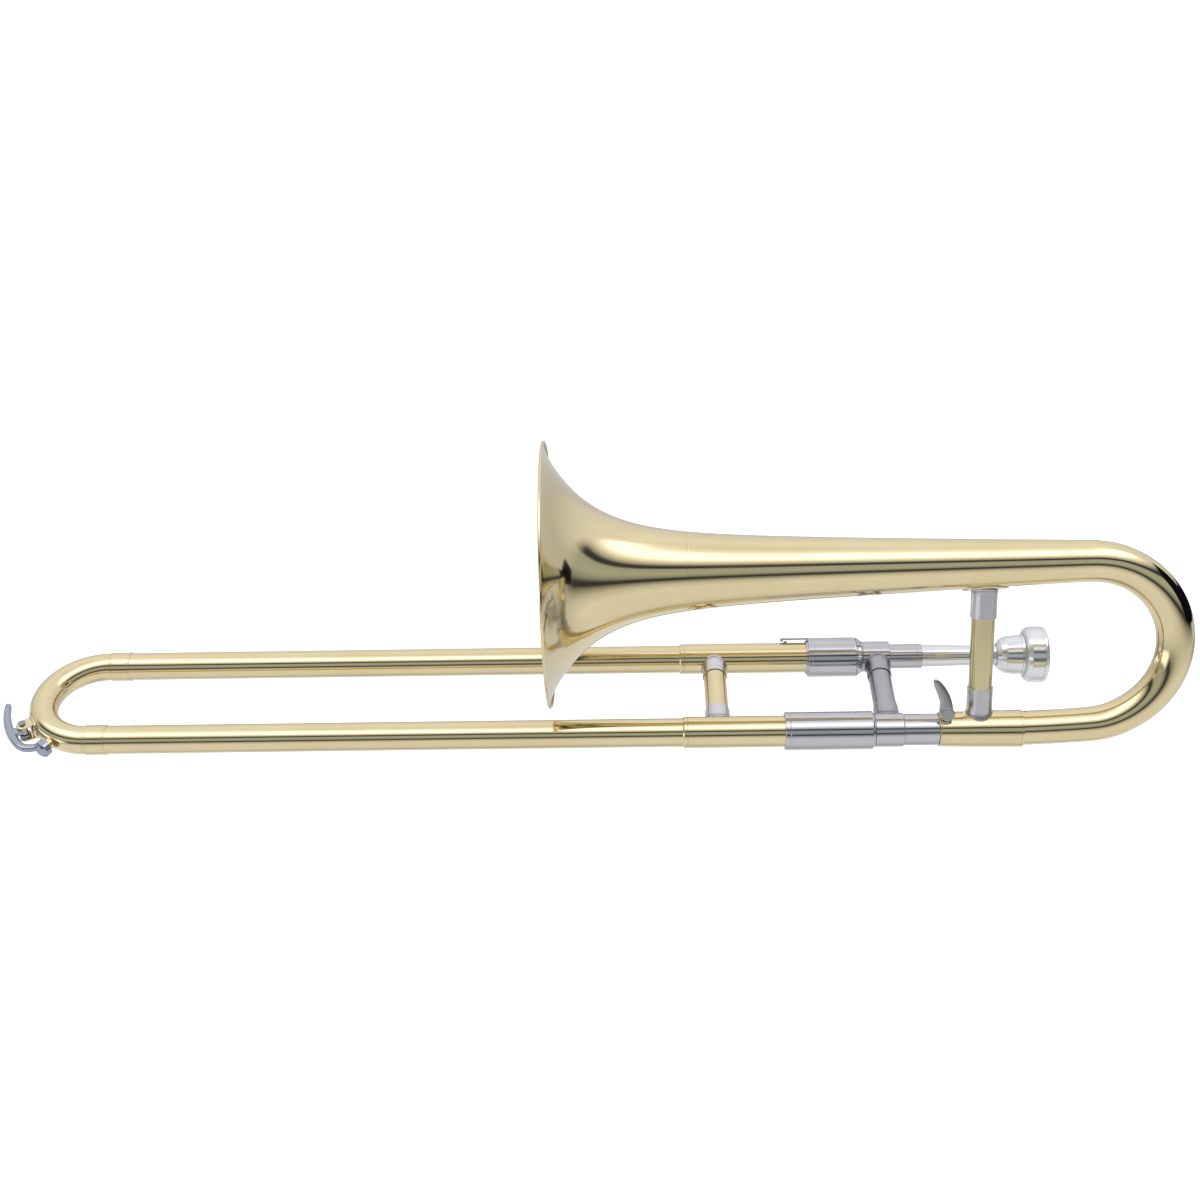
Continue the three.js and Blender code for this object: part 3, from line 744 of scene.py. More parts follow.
@dataclass(frozen=True)
class PolishedMetal:
    """Buffed metal: faint polishing marks, cloudy patches, dirt in creases and bright edges."""

    name: str
    tone: tuple[float, float, float]
    shade: tuple[float, float, float]
    grime: tuple[float, float, float]
    roughness: float
    grain: Grain = Grain.ROUND_THE_TUBE
    lacquer: float = 0.0
    marks: float = 0.02

    def material(self) -> bpy.types.Material:
        """Makes the material.

        The colour drifts between tone and shade with two sizes of noise and turns to grime where
        the wear attribute is negative. The roughness rises in patches, along the polishing marks
        and on the edges.

        Returns:
            The finished material.
        """
        material = bpy.data.materials.new(self.name)
        material.use_nodes = True
        bench = Bench(material.node_tree)
        place = bench.node("ShaderNodeTexCoord", output="Object")
        wear = bench.node("ShaderNodeAttribute", {"attribute_name": "wear"}, output="Fac")
        drift = bench.noise(place, 14.0, 3.0)
        cloud = bench.noise(place, 75.0, 4.0, 0.6)
        lines = bench.noise(bench.stretched(place, self.grain.value), 1.0, 3.0, 0.55)
        specks = bench.noise(place, 900.0, 2.0, 0.6)
        crease = bench.between(wear * -1.0, 0.05, 0.9)
        edge = bench.between(wear, 0.05, 0.9)
        patches = bench.between(drift * 0.6 + cloud * 0.4, 0.36, 0.64)
        colour = bench.mixed(patches, (*self.tone, 1), (*self.shade, 1))
        colour = bench.mixed(crease * (0.55 + 0.4 * cloud), colour, (*self.grime, 1))
        dust = bench.between(specks, 0.66, 0.78)
        roughness = (
            self.roughness
            + self.marks * lines
            + 0.03 * patches
            + 0.05 * dust
            + 0.3 * crease
            + 0.06 * edge
        )
        height = 0.5 * lines + 0.35 * cloud + 0.15 * specks
        bump = bench.node(
            "ShaderNodeBump", inputs={"Strength": 0.06, "Distance": 0.00004, "Height": height}
        )
        shader = bench.node(
            "ShaderNodeBsdfPrincipled",
            inputs={
                "Base Color": colour,
                "Metallic": 1.0,
                "Roughness": roughness,
                "Normal": bump,
                "Coat Weight": self.lacquer,
                "Coat Roughness": 0.04,
                "Coat IOR": 1.48,
            },
        )
        bench.node("ShaderNodeOutputMaterial", inputs={"Surface": shader})
        return material


@dataclass(frozen=True)
class Cork:
    """Bare cork: pale grains with dark pores."""

    name: str = "bare_cork"

    def material(self) -> bpy.types.Material:
        """Makes the material from cells of different tan, with pores between them.

        Returns:
            The finished material.
        """
        material = bpy.data.materials.new(self.name)
        material.use_nodes = True
        bench = Bench(material.node_tree)
        place = bench.node("ShaderNodeTexCoord", output="Object")
        cells = bench.node("ShaderNodeTexVoronoi", inputs={"Vector": place, "Scale": 900.0})
        pores = bench.noise(place, 2400.0, 3.0, 0.7)
        tan = bench.ramp(cells, [(0.0, (0.42, 0.26, 0.13)), (1.0, (0.68, 0.49, 0.29))])
        dark = bench.between(pores, 0.58, 0.66)
        colour = bench.mixed(dark, tan, (0.16, 0.09, 0.05, 1))
        bump = bench.node(
            "ShaderNodeBump",
            inputs={"Strength": 0.5, "Distance": 0.0001, "Height": cells + pores},
        )
        shader = bench.node(
            "ShaderNodeBsdfPrincipled",
            inputs={"Base Color": colour, "Roughness": 0.85 + 0.1 * pores, "Normal": bump},
        )
        bench.node("ShaderNodeOutputMaterial", inputs={"Surface": shader})
        return material


class Finishes:
    """The instrument's finishes, each made once and shared."""

    def __init__(self) -> None:
        """Makes every finish."""
        brass = dict(
            tone=(0.80, 0.69, 0.41),
            shade=(0.77, 0.65, 0.375),
            grime=(0.22, 0.16, 0.07),
            roughness=0.06,
            lacquer=0.5,
        )
        nickel = dict(
            tone=(0.60, 0.595, 0.615),
            shade=(0.56, 0.55, 0.565),
            grime=(0.12, 0.115, 0.12),
            roughness=0.09,
        )
        self.brass = PolishedMetal("lacquered_brass", **brass).material()
        self.brass_upright = PolishedMetal(
            "lacquered_brass_brace", grain=Grain.UP_THE_BRACE, **brass
        ).material()
        self.nickel = PolishedMetal("nickel_silver", **nickel).material()
        self.nickel_cast = PolishedMetal(
            "nickel_silver_casting",
            tone=(0.72, 0.71, 0.725),
            shade=(0.67, 0.66, 0.67),
            grime=(0.14, 0.13, 0.14),
            roughness=0.19,
            grain=Grain.ALL_WAYS,
            marks=0.05,
        ).material()
        self.nickel_worn = PolishedMetal(
            "nickel_silver_handled",
            tone=(0.48, 0.47, 0.495),
            shade=(0.42, 0.41, 0.43),
            grime=(0.09, 0.085, 0.09),
            roughness=0.2,
            grain=Grain.ALL_WAYS,
            marks=0.05,
        ).material()
        self.silver = PolishedMetal(
            "silver_plate",
            tone=(0.83, 0.835, 0.84),
            shade=(0.79, 0.795, 0.80),
            grime=(0.42, 0.42, 0.42),
            roughness=0.15,
        ).material()
        self.chrome = PolishedMetal(
            "bright_chrome",
            tone=(0.74, 0.75, 0.77),
            shade=(0.70, 0.71, 0.74),
            grime=(0.15, 0.15, 0.16),
            roughness=0.04,
            marks=0.01,
        ).material()
        # Painted shade: the bright chrome again, with a darker, bluer colour that stands in for the
        # dark reflections on the key's lever.
        self.chrome_key_painted_shade = PolishedMetal(
            "chrome_with_painted_shade_on_the_key",
            tone=(0.42, 0.44, 0.50),
            shade=(0.36, 0.38, 0.44),
            grime=(0.15, 0.15, 0.16),
            roughness=0.04,
            marks=0.01,
        ).material()
        self.steel = PolishedMetal(
            "spring_steel",
            tone=(0.45, 0.45, 0.46),
            shade=(0.38, 0.38, 0.40),
            grime=(0.08, 0.08, 0.08),
            roughness=0.25,
            grain=Grain.ALL_WAYS,
            marks=0.08,
        ).material()
        self.cork = Cork().material()


@dataclass(frozen=True)
class Piece:
    """How a finished piece joins the frame."""

    body: str
    slot: str
    material: bpy.types.Material

    def make(self, name: str, shell: Shell, *nodes: str) -> bpy.types.Object:
        """Turns a shell into an object that rides with its body.

        Args:
            name: The object's name.
            shell: Its surface, in millimetres.
            nodes: The CAD nodes that it stands for.

        Returns:
            The object.
        """
        mesh = bpy.data.meshes.new(name)
        faces = [face for block in shell.faces for face in block.tolist()]
        mesh.from_pydata((shell.points * MM).tolist(), [], faces)
        layer = mesh.attributes.new("wear", "FLOAT", "POINT")
        layer.data.foreach_set("value", shell.wear.astype(np.float32))
        mesh.shade_smooth()
        mesh.validate()
        mesh.materials.append(self.material)
        made = bpy.data.objects.new(name, mesh)
        bpy.context.scene.collection.objects.link(made)
        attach(made, self.body)
        if nodes:
            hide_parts(*nodes)
        LOG.info("%s: %d points on %s", name, len(shell.points), self.body)
        return made


# ---------------------------------------------------------------------------------------------
# Inner slide
# ---------------------------------------------------------------------------------------------


@dataclass
class InnerSlide:
    """The fixed frame: two chromed tubes, cork barrels, collars, hand brace and receiver."""

    finishes: Finishes
    body: str = "inner_slide"
    tube_left: float = -366.0
    tube_radius: float = 5.9
    tube_bore: float = 5.6
    stocking_radius: float = 6.05
    stocking_length: float = 70.0
    lower_tube_right: float = 6.6
    upper_tube_right: float = 3.4
    barrel_left: float = -47.9
    barrel_right: float = -6.4
    barrel_radius: float = 9.0
    barrel_bore: float = 7.75
    upper_barrel_left: float = -33.5
    upper_barrel_radius: float = 8.4
    collar_left: float = -6.1
    collar_right: float = 7.3
    collar_bore: float = 6.1
    lower_collar: float = 7.95
    upper_collar: float = 7.5
    skirt_left: float = -11.0
    skirt_gap: float = 0.05
    receiver_left: float = 3.7
    receiver_right: float = 23.4
    receiver_radius: float = 6.0
    receiver_throat: float = 4.85
    receiver_mouth: float = 5.4
    tenon_left: float = 7.4
    tenon_step: float = 23.5
    tenon_right: float = 50.0
    tenon_bore: float = 5.6
    tenon_radius: float = 7.4
    brace_x: float = 1.2
    brace_inset: float = 11.4
    foot_height: float = 15.0
    slot_from: float = math.radians(102.9)
    slot_to: float = math.radians(156.9)

    def build(self) -> None:
        """Builds every piece of the inner slide."""
        self._tubes()
        self._barrels()
        self._collars()
        self._receiver_and_tenon()
        self._hand_brace()

    def _piece(self, material: bpy.types.Material, slot: str = "nickel_silver") -> Piece:
        """A piece of this body in one finish."""
        return Piece(self.body, slot, material)

    def _tube(self, right: float) -> Shell:
        """One inner tube, which swells into its stocking over two millimetres.

        Args:
            right: Its right end.

        Returns:
            The tube about the X axis.
        """
        swell = self.tube_left + self.stocking_length
        return turned(
            [
                (self.tube_left, self.tube_bore, 0),
                (right, self.tube_bore, 0),
                (right, self.tube_radius, 0.1),
                (swell + 2, self.tube_radius, 0.6),
                (swell, self.stocking_radius, 0.6),
                (self.tube_left, self.stocking_radius, 0.2),
            ]
        )

    def _tubes(self) -> None:
        """Both inner tubes."""
        chrome = self._piece(self.finishes.chrome, "chrome")
        lower = self._tube(self.lower_tube_right).moved(SLIDE.lower)
        chrome.make("inner_tube_lower", lower, "inner_slide_tube_lower")
        upper = self._tube(self.upper_tube_right).moved(SLIDE.upper)
        chrome.make("inner_tube_upper", upper, "inner_slide_tube_upper")

    def _barrels(self) -> None:
        """The cork barrels: the lower one bare, the upper one inside the lock's sleeve."""
        nickel = self._piece(self.finishes.nickel)
        left, right, bore = self.barrel_left, self.barrel_right, self.barrel_bore
        radius, worn = self.barrel_radius, self.barrel_radius - 0.02
        lower = turned(
            [
                (left, bore, 0.1),
                (right, bore, 0),
                (right, radius - 0.75, 0.1),
                (right - 0.9, worn, 0.5),
                *groove(left + 2.6, left + 2.05, (worn, radius - 0.14, radius), FINE_LINE),
                (left, radius, 0.3),
            ]
        ).moved(SLIDE.lower)
        nickel.make("barrel_lower", lower, "cork_barrel_lower")
        nickel.make("barrel_upper", self._upper_barrel().moved(SLIDE.upper), "cork_barrel_upper")

    def _upper_barrel(self) -> Shell:
        """The upper barrel, whose tapered end ring has a slot for the lock's stud.

        The slot is where the ring's radius falls back to the barrel's, between two angles.

        Returns:
            The barrel about the X axis.
        """
        left, right, radius = self.upper_barrel_left, self.barrel_right, self.upper_barrel_radius
        profile = rounded(
            [
                (left, self.barrel_bore, 0.1),
                (right, self.barrel_bore, 0),
                (right, radius - 0.5, 0.15),
                (right - 1.7, radius + 0.95, 0.4),
                (right - 2.6, radius + 1.2, 0.2),
                (right - 2.6, radius, 0.05),
                (left, radius, 0.2),
            ]
        )
        segments, soft = 3 * SMOOTH, math.radians(1.5)
        angle = np.linspace(0, 2 * math.pi, segments, endpoint=False)
        past_start = np.clip((angle - self.slot_from) / soft, 0, 1)
        inside = past_start * np.clip((self.slot_to - angle) / soft, 0, 1)
        grid = lathe_grid(profile, segments)
        ring = np.maximum(profile[:, 1] - radius - 0.02, 0) / profile[:, 1]
        grid[..., 1:] *= 1 - (ring[:, None] * inside)[..., None]
        return Shell.from_grid(grid, profile[:, 2])

    def _collar(self, radius: float) -> Shell:
        """One collar, whose skirt runs up inside the cork barrel.

        Args:
            radius: Its outer radius.

        Returns:
            The collar about the X axis.
        """
        left, right, bore = self.collar_left, self.collar_right, self.collar_bore
        skirt = self.barrel_bore - self.skirt_gap
        return turned(
            [
                (self.skirt_left, bore, 0),
                (right, bore, 0),
                (right, radius - 0.25, 0.08),
                (right - 0.25, radius, 0.12),
                (left + 0.35, radius, 0.15),
                (left, radius - 0.3, 0.1),
                (left, skirt, 0.05),
                (self.skirt_left, skirt, 0.1),
            ]
        )

    def _collars(self) -> None:
        """Both collars."""
        nickel = self._piece(self.finishes.nickel)
        lower = self._collar(self.lower_collar).moved(SLIDE.lower)
        nickel.make("collar_lower_turned", lower, "collar_lower")
        upper = self._collar(self.upper_collar).moved(SLIDE.upper)
        nickel.make("collar_upper_turned", upper, "collar_upper")

    def _receiver_and_tenon(self) -> None:
        """The mouthpiece receiver and the tenon that carries the bell."""
        nickel = self._piece(self.finishes.nickel)
        radius, left, right = self.receiver_radius, self.receiver_left, self.receiver_right
        receiver = turned(
            [
                (left, self.receiver_throat, 0),
                (right, self.receiver_mouth, 0.1),
                (right, radius - 0.1, 0.15),
                (right - 0.35, radius, 0.2),
                *groove(right - 2.4, right - 2.85, (radius, radius - 0.1, radius), FINE_LINE),
                (left, radius, 0.1),
            ]
        ).moved(SLIDE.upper)
        nickel.make("receiver", receiver, "mouthpiece_receiver")
        left, step, right = self.tenon_left, self.tenon_step, self.tenon_right
        tenon = turned(
            [
                (left, self.tenon_bore, 0),
                (right, self.tenon_bore, 0.1),
                (right, self.tenon_radius - 0.6, 0.2),
                (step, self.tenon_radius - 0.45, 0.1),
                (step, self.tenon_radius, 0.15),
                (left, self.tenon_radius, 0.15),
            ]
        ).moved(SLIDE.lower)
        nickel.make("tenon", tenon, "bell_tenon")

    def _hand_brace(self) -> None:
        """The left hand's brace and its two saddled ends."""
        cast = self._piece(self.finishes.nickel_worn)
        along = shifted(x=self.brace_x)
        tube = brace_tube(self.brace_inset, SLIDE.spacing - self.brace_inset).moved(along)
        cast.make("hand_brace", tube.moved(SLIDE.lower), "hand_brace_tube")
        lower = saddled_ferrule(self.lower_collar, self.foot_height, 0.7).moved(along)
        cast.make("hand_brace_end_lower", lower.moved(SLIDE.lower), "hand_brace_foot_lower")
        upper = saddled_ferrule(self.upper_collar, self.foot_height, 0.5).moved(along)
        upper = upper.moved(SLIDE.facing_down)
        cast.make("hand_brace_end_upper", upper, "hand_brace_foot_upper")


# ---------------------------------------------------------------------------------------------
# Slide lock
# ---------------------------------------------------------------------------------------------


@dataclass
class SlideLock:
    """The sleeve that turns on the upper cork barrel, with its hooked arm and its stud."""

    finishes: Finishes
    left: float = -32.5
    right: float = -9.25
    radius: float = 9.65
    bore: float = 8.6
    tip: float = -45.9
    arm_half_thick: float = 0.46
    arm_half_wide: float = 1.9
    tooth_foot: float = 7.9
    arm_angle: float = math.radians(51.9)
    stud_angle: float = math.radians(141.9)
    stud_x: float = -7.9
    stud_radius: float = 1.2

    def build(self) -> None:
        """Builds the sleeve with its arm and tab, and the stud."""
        shell = self._sleeve() + self._arm() + self._tab()
        nickel = Piece("slide_lock", "nickel_silver", self.finishes.nickel)
        nickel.make("lock_sleeve", shell.moved(SLIDE.upper), "slide_lock_sleeve")
        silver = Piece("slide_lock", "silver_plate", self.finishes.silver)
        silver.make("lock_stud", self._stud().moved(SLIDE.upper), "lock_stop_stud")

    def _sleeve(self) -> Shell:
        """The plain sleeve, with a turned line near its left end.

        Returns:
            The sleeve about the X axis.
        """
        left, right, radius, bore = self.left, self.right, self.radius, self.bore
        return turned(
            [
                (left, bore, 0.1),
                (right, bore, 0.05),
                (right, radius - 0.1, 0.1),
                (right - 0.5, radius, 0.3),
                *groove(left + 1.9, left + 1.4, (radius, radius - 0.08, radius), FINE_LINE),
                (left, radius, 0.35),
            ],
            FINE,
        )

    def _arm(self) -> Shell:
        """The arm over the grip sleeve and the tooth under its tip.

        Returns:
            Both, at the arm's place round the tube.
        """
        middle = 0.5 * (self.bore + self.radius) + 0.08
        root = self.left + 1.5
        arm = blade(
            lambda t: (self.tip + t * (root - self.tip), np.full_like(t, middle)),
            steady(self.arm_half_thick),
            steady(self.arm_half_wide),
            power=5,
            ends=0.05,
        )
        tooth = blade(
            rising(self.tip + 0.8, self.tooth_foot, self.tooth_foot + 1.5),
            steady(0.72),
            steady(self.arm_half_wide - 0.05),
            power=5,
            ends=0.2,
        )
        return (arm + tooth).moved(rolled(self.arm_angle))

    def _tab(self) -> Shell:
        """The tab under the stud, a plate laid round the barrel.

        Returns:
            The tab, at the stud's place round the tube.
        """

        def lay(u: Array, v: Array, height: Array) -> Array:
            """Puts a plate on the barrel.

            Args:
                u: Distance along the tube.
                v: Distance round it.
                height: Height over the sleeve's bore.

            Returns:
                The points.
            """
            radius, turn = self.bore + height, v / self.bore
            grid = [self.right + 1.2 + u, -radius * np.sin(turn), radius * np.cos(turn)]
            return np.stack(grid, axis=-1)

        tab = patch(1.75, 1.95, 0.7, lay, power=6, sunk=0.0)
        return tab.moved(rolled(self.stud_angle))

    def _stud(self) -> Shell:
        """The bright stud with its domed head.

        Returns:
            The stud, at its place round the tube.
        """
        wide, high = self.stud_radius, self.radius + 1.3
        foot = self.bore + 0.1
        stud = turned(
            [
                (foot, 0, 0),
                (foot, wide, 0),
                (high - 1.0, wide, 0.25),
                (high - 0.15, wide * 0.75, 0.5),
                (high, 0, 0),
            ],
            48,
            closed=False,
        )
        stud = stud.moved(upright).moved(shifted(x=self.stud_x))
        return stud.moved(rolled(self.stud_angle))


# ---------------------------------------------------------------------------------------------
# Outer slide
# ---------------------------------------------------------------------------------------------


@dataclass
class OuterSlide:
    """The moving slide: two tubes with grip sleeves, the bow, the brace and the key's fittings."""

    finishes: Finishes
    body: str = "outer_slide"
    right: float = -13.2
    tube_radius: float = 6.75
    bore: float = 6.12
    bow_x: float = -377.2
    bow_wall: float = 1.15
    collar_bore: float = 6.8
    ferrule_right: float = -367.0
    ferrule_radius: float = 7.1
    sleeve_left: float = -95.5
    sleeve_radius: float = 7.4
    brace_x: float = -78.6
    brace_inset: float = 10.4
    foot_height: float = 14.0
    catch_x: float = -43.0
    catch_angle: float = math.radians(27.9)
    catch_radius: float = 1.1
    catch_foot: float = 7.2
    catch_top: float = 8.65

    def build(self) -> None:
        """Builds every piece of the outer slide."""
        for end, place in (("lower", SLIDE.lower), ("upper", SLIDE.upper)):
            self._line(end, place)
        self._bow()
        self._brace()
        self._catch()

    def _piece(self, material: bpy.types.Material, slot: str = "lacquered_brass") -> Piece:
        """A piece of this body in one finish."""
        return Piece(self.body, slot, material)

    def _line(self, end: str, place: Rule) -> None:
        """One side of the slide: tube, bow ferrule and grip sleeve.

        Args:
            end: "lower" or "upper".
            place: Where that side lies.
        """
        brass = self._piece(self.finishes.brass)
        tube = pipe(self.bow_x + 3.2, self.right, self.tube_radius, self.bore)
        brass.make(f"tube_{end}", tube.moved(place), f"outer_slide_tube_{end}")
        left, right, radius = self.bow_x + 0.15, self.ferrule_right, self.ferrule_radius
        floor, worn = radius - 0.1, radius - 0.02
        ferrule = turned(
            [
                (left, self.collar_bore, 0),
                (right, self.collar_bore, 0),
                (right, radius, 0.15),
                *groove(right - 0.7, right - 1.05, (radius, floor, worn)),
                *groove(left + 1.2, left + 0.85, (worn, floor, radius)),
                (left, radius, 0.12),
            ]
        )
        brass.make(f"ferrule_{end}", ferrule.moved(place), f"bow_ferrule_{end}")
        left, radius = self.sleeve_left, self.sleeve_radius
        sleeve = turned(
            [
                (left, self.collar_bore, 0),
                (self.right, self.collar_bore, 0),
                (self.right, radius, 0.2),
                *groove(left + 2.4, left + 2.0, (radius, radius - 0.12, radius)),
                (left + 0.6, radius, 0.25),
                (left, radius - 0.5, 0.15),
            ]
        )
        brass.make(f"sleeve_{end}", sleeve.moved(place), f"grip_sleeve_{end}")

    def _bow(self) -> None:
        """The slide bow, a half circle between the two tubes."""
        radius = SLIDE.spacing / 2
        path = Path.arc((self.bow_x, radius), radius, -math.pi / 2, -3 * math.pi / 2)
        bow = bent_pipe(path, steady(self.tube_radius), self.bow_wall)
        brass = self._piece(self.finishes.brass)
        brass.make("bow", bow.moved(SLIDE.lower), "slide_bow")

    def _brace(self) -> None:
        """The right hand's brace: a brass tube between nickel ends."""
        along = shifted(x=self.brace_x)
        tube = brace_tube(self.brace_inset, SLIDE.spacing - self.brace_inset).moved(along)
        brass = self._piece(self.finishes.brass_upright)
        brass.make("brace", tube.moved(SLIDE.lower), "slide_brace_tube")
        cast = self._piece(self.finishes.nickel_cast, "nickel_silver")
        end = saddled_ferrule(self.sleeve_radius, self.foot_height, 0.4).moved(along)
        cast.make("brace_end_lower", end.moved(SLIDE.lower), "slide_brace_foot_lower")
        cast.make("brace_end_upper", end.moved(SLIDE.facing_down), "slide_brace_foot_upper")

    def _catch(self) -> None:
        """The stud that the lock's tooth hooks behind."""
        foot, top, radius = self.catch_foot, self.catch_top, self.catch_radius
        stud = turned(
            [(foot, 0, 0), (foot, radius, 0), (top - 0.15, radius, 0.3), (top, 0, 0)],
            40,
            closed=False,
        )
        stud = stud.moved(upright).moved(shifted(x=self.catch_x)).moved(rolled(self.catch_angle))
        cast = self._piece(self.finishes.nickel_cast, "nickel_silver")
        cast.make("lock_catch", stud.moved(SLIDE.upper), "slide_lock_catch")


# ---------------------------------------------------------------------------------------------
# Water key
# ---------------------------------------------------------------------------------------------


@dataclass
class WaterKey:
    """The water key on the outside of the slide bow, with its saddle, screw and spring.

    Angles are measured about the bow's centre, from -X towards the lower tube.
    """

    finishes: Finishes
    centre_x: float = -377.2
    bow_radius: float = 26.25
    bow_tube: float = 6.75
    pivot_angle: float = math.radians(31)
    pivot_radius: float = 36.8
    cup_angle: float = math.radians(59)
    tip_angle: float = math.radians(2)
    nipple_top: float = 34.7
    nipple_bore: float = 1.2
    ear_foot: float = 31.5
    ear_top: float = 39.7
    ear_half_wide: float = 0.62
    screw_radius: float = 0.85
    head_radius: float = 1.6
    spring_radius: float = 2.4
    spring_wire: float = 0.28
    hub_bore: float = 0.9
    hub_radius: float = 1.9
    hub_near: float = -2.5
    hub_far: float = 3.7
    lever_back: float = 44.95
    lever_dip: float = 7.0
    lever_middle: float = -0.5
    cup_radius: float = 4.2
    pad_radius: float = 3.6
    pad_top: float = 36.35

    def build(self) -> None:
        """Builds the fixed fittings on the outer slide and the moving key."""
        self._saddle()
        self._nipple()
        self._screw()
        self._spring()
        self._lever()
        self._pad()

    def _at(self, angle: float) -> Rule:
        """Stands a piece, upright along +Z at its radius, at an angle round the bow.

        Args:
            angle: The angle, in radians.

        Returns:
            The move, as a function of points.
        """
        cos, sin = math.cos(angle), math.sin(angle)

        def place(points: Array) -> Array:
            """Turns the piece in the slide's plane and moves it to the bow's centre.

            Args:
                points: The piece's points.

            Returns:
                The points in their place.
            """
            x = self.centre_x - points[..., 2] * cos - points[..., 0] * sin
            z = self.bow_radius - points[..., 2] * sin + points[..., 0] * cos
            return SLIDE.lower(np.stack([x, points[..., 1], z], axis=-1))

        return place

    def _on_bow(self, u: Array, v: Array, height: Array) -> Array:
        """Lays a plate on the outside of the bow.

        Args:
            u: Distance along the bow.
            v: Distance round its tube.
            height: Height over its surface.

        Returns:
            The points, upright at the bow's centre.
        """
        turn, radius = v / self.bow_tube, self.bow_tube + height
        out = self.bow_radius + radius * np.cos(turn)
        along = u / (self.bow_radius + self.bow_tube)
        grid = [out * np.sin(along), radius * np.sin(turn), out * np.cos(along)]
        return np.stack(grid, axis=-1)

    def _saddle(self) -> None:
        """The soldered foot with its two ears."""
        foot = patch(4.9, 5.3, 0.8, self._on_bow, power=3.2).moved(shifted(y=0.5))
        ears = [
            blade(
                rising(0.0, self.ear_foot, self.ear_top),
                lambda t: 3.4 - 0.5 * np.clip(t * 1.4, 0, 1),
                steady(self.ear_half_wide),
                middle=middle,
                ends=0.33,
            )
            for middle in (-3.35, 4.55)
        ]
        shell = (foot + ears[0] + ears[1]).moved(self._at(self.pivot_angle))
        piece = Piece("outer_slide", "lacquered_brass", self.finishes.brass_upright)
        piece.make("key_saddle", shell, "water_key_saddle")

    def _nipple(self) -> None:
        """The drain nipple under the pad."""
        base = self.bow_radius + self.bow_tube - 0.9
        nipple = turned(
            [
                (base, self.nipple_bore, 0),
                (self.nipple_top, self.nipple_bore, 0.1),
                (self.nipple_top, 2.5, 0.25),
                (base + 1.5, 2.6, 0.3),
                (base, 3.2, 0),
            ],
            SMALL,
        )
        piece = Piece("outer_slide", "lacquered_brass", self.finishes.brass_upright)
        shell = nipple.moved(upright).moved(self._at(self.cup_angle))
        piece.make("key_nipple", shell, "water_key_nipple")

    def _screw(self) -> None:
        """The pivot screw with its slotted head, which a soft groove across the face gives."""
        profile = rounded(
            [
                (-5.15, 0, 0),
                (-5.2, self.head_radius, 0.25),
                (-4.1, self.head_radius, 0.1),
                (-4.1, self.screw_radius, 0.05),
                (5.5, self.screw_radius, 0.2),
                (5.5, 0, 0),
            ],
            closed=False,
        )
        fine = np.linspace(0, 1.3, 12)[1:]
        face = np.stack([np.full_like(fine, -5.17), fine, 0 * fine], axis=-1)
        profile = np.concatenate([profile[:1], face, profile[1:]])
        grid = lathe_grid(profile, SMALL)
        slot_half_wide, slot_depth = 0.28, 0.45
        slot = np.exp(-((grid[..., 1] / slot_half_wide) ** 6)) * (grid[..., 0] < -5.0)
        grid[..., 0] += slot_depth * slot
        screw = Shell.from_grid(grid, profile[:, 2], around=False)
        shell = screw.moved(crosswise).moved(shifted(z=self.pivot_radius))
        piece = Piece("outer_slide", "spring_steel", self.finishes.steel)
        piece.make("key_screw", shell.moved(self._at(self.pivot_angle)), "water_key_screw")

    def _spring(self) -> None:
        """The return spring: a wire whose middle follows a helix of two and a half turns."""
        turn = np.linspace(0, 5 * math.pi, 150)
        round_wire = np.linspace(0, 2 * math.pi, 14, endpoint=False)
        taper = np.sqrt(np.clip(np.minimum(turn, turn[::-1]) / 0.05, 0, 1))
        wire = self.spring_wire * taper[:, None]
        radius = self.spring_radius + wire * np.cos(round_wire)
        y = 1.75 + 1.7 * (turn / turn[-1])[:, None] + wire * np.sin(round_wire)
        x = radius * np.cos(turn)[:, None]
        z = self.pivot_radius + radius * np.sin(turn)[:, None]
        shell = Shell.from_grid(np.stack([x, y, z], axis=-1), around=False)
        piece = Piece("outer_slide", "spring_steel", self.finishes.steel)
        piece.make("key_spring", shell.moved(self._at(self.pivot_angle)), "water_key_spring")

    def _lever(self) -> None:
        """The lever: a curved bar from the cup past the hub to the spoon-shaped touch."""

        def sweep(t: Array) -> tuple[Array, Array]:
            """The bar's middle line, which lifts away from the bow towards the touch.

            Args:
                t: Share of the way from the cup to the touch.

            Returns:
                x and z.
            """
            angle = self.cup_angle + t * (self.tip_angle - self.cup_angle)
            back = self.lever_back - self.lever_dip * np.exp(-((t / 0.13) ** 2))
            radius = back - self._lever_half(t)
            return (
                self.centre_x - radius * np.cos(angle),
                self.bow_radius - radius * np.sin(angle),
            )

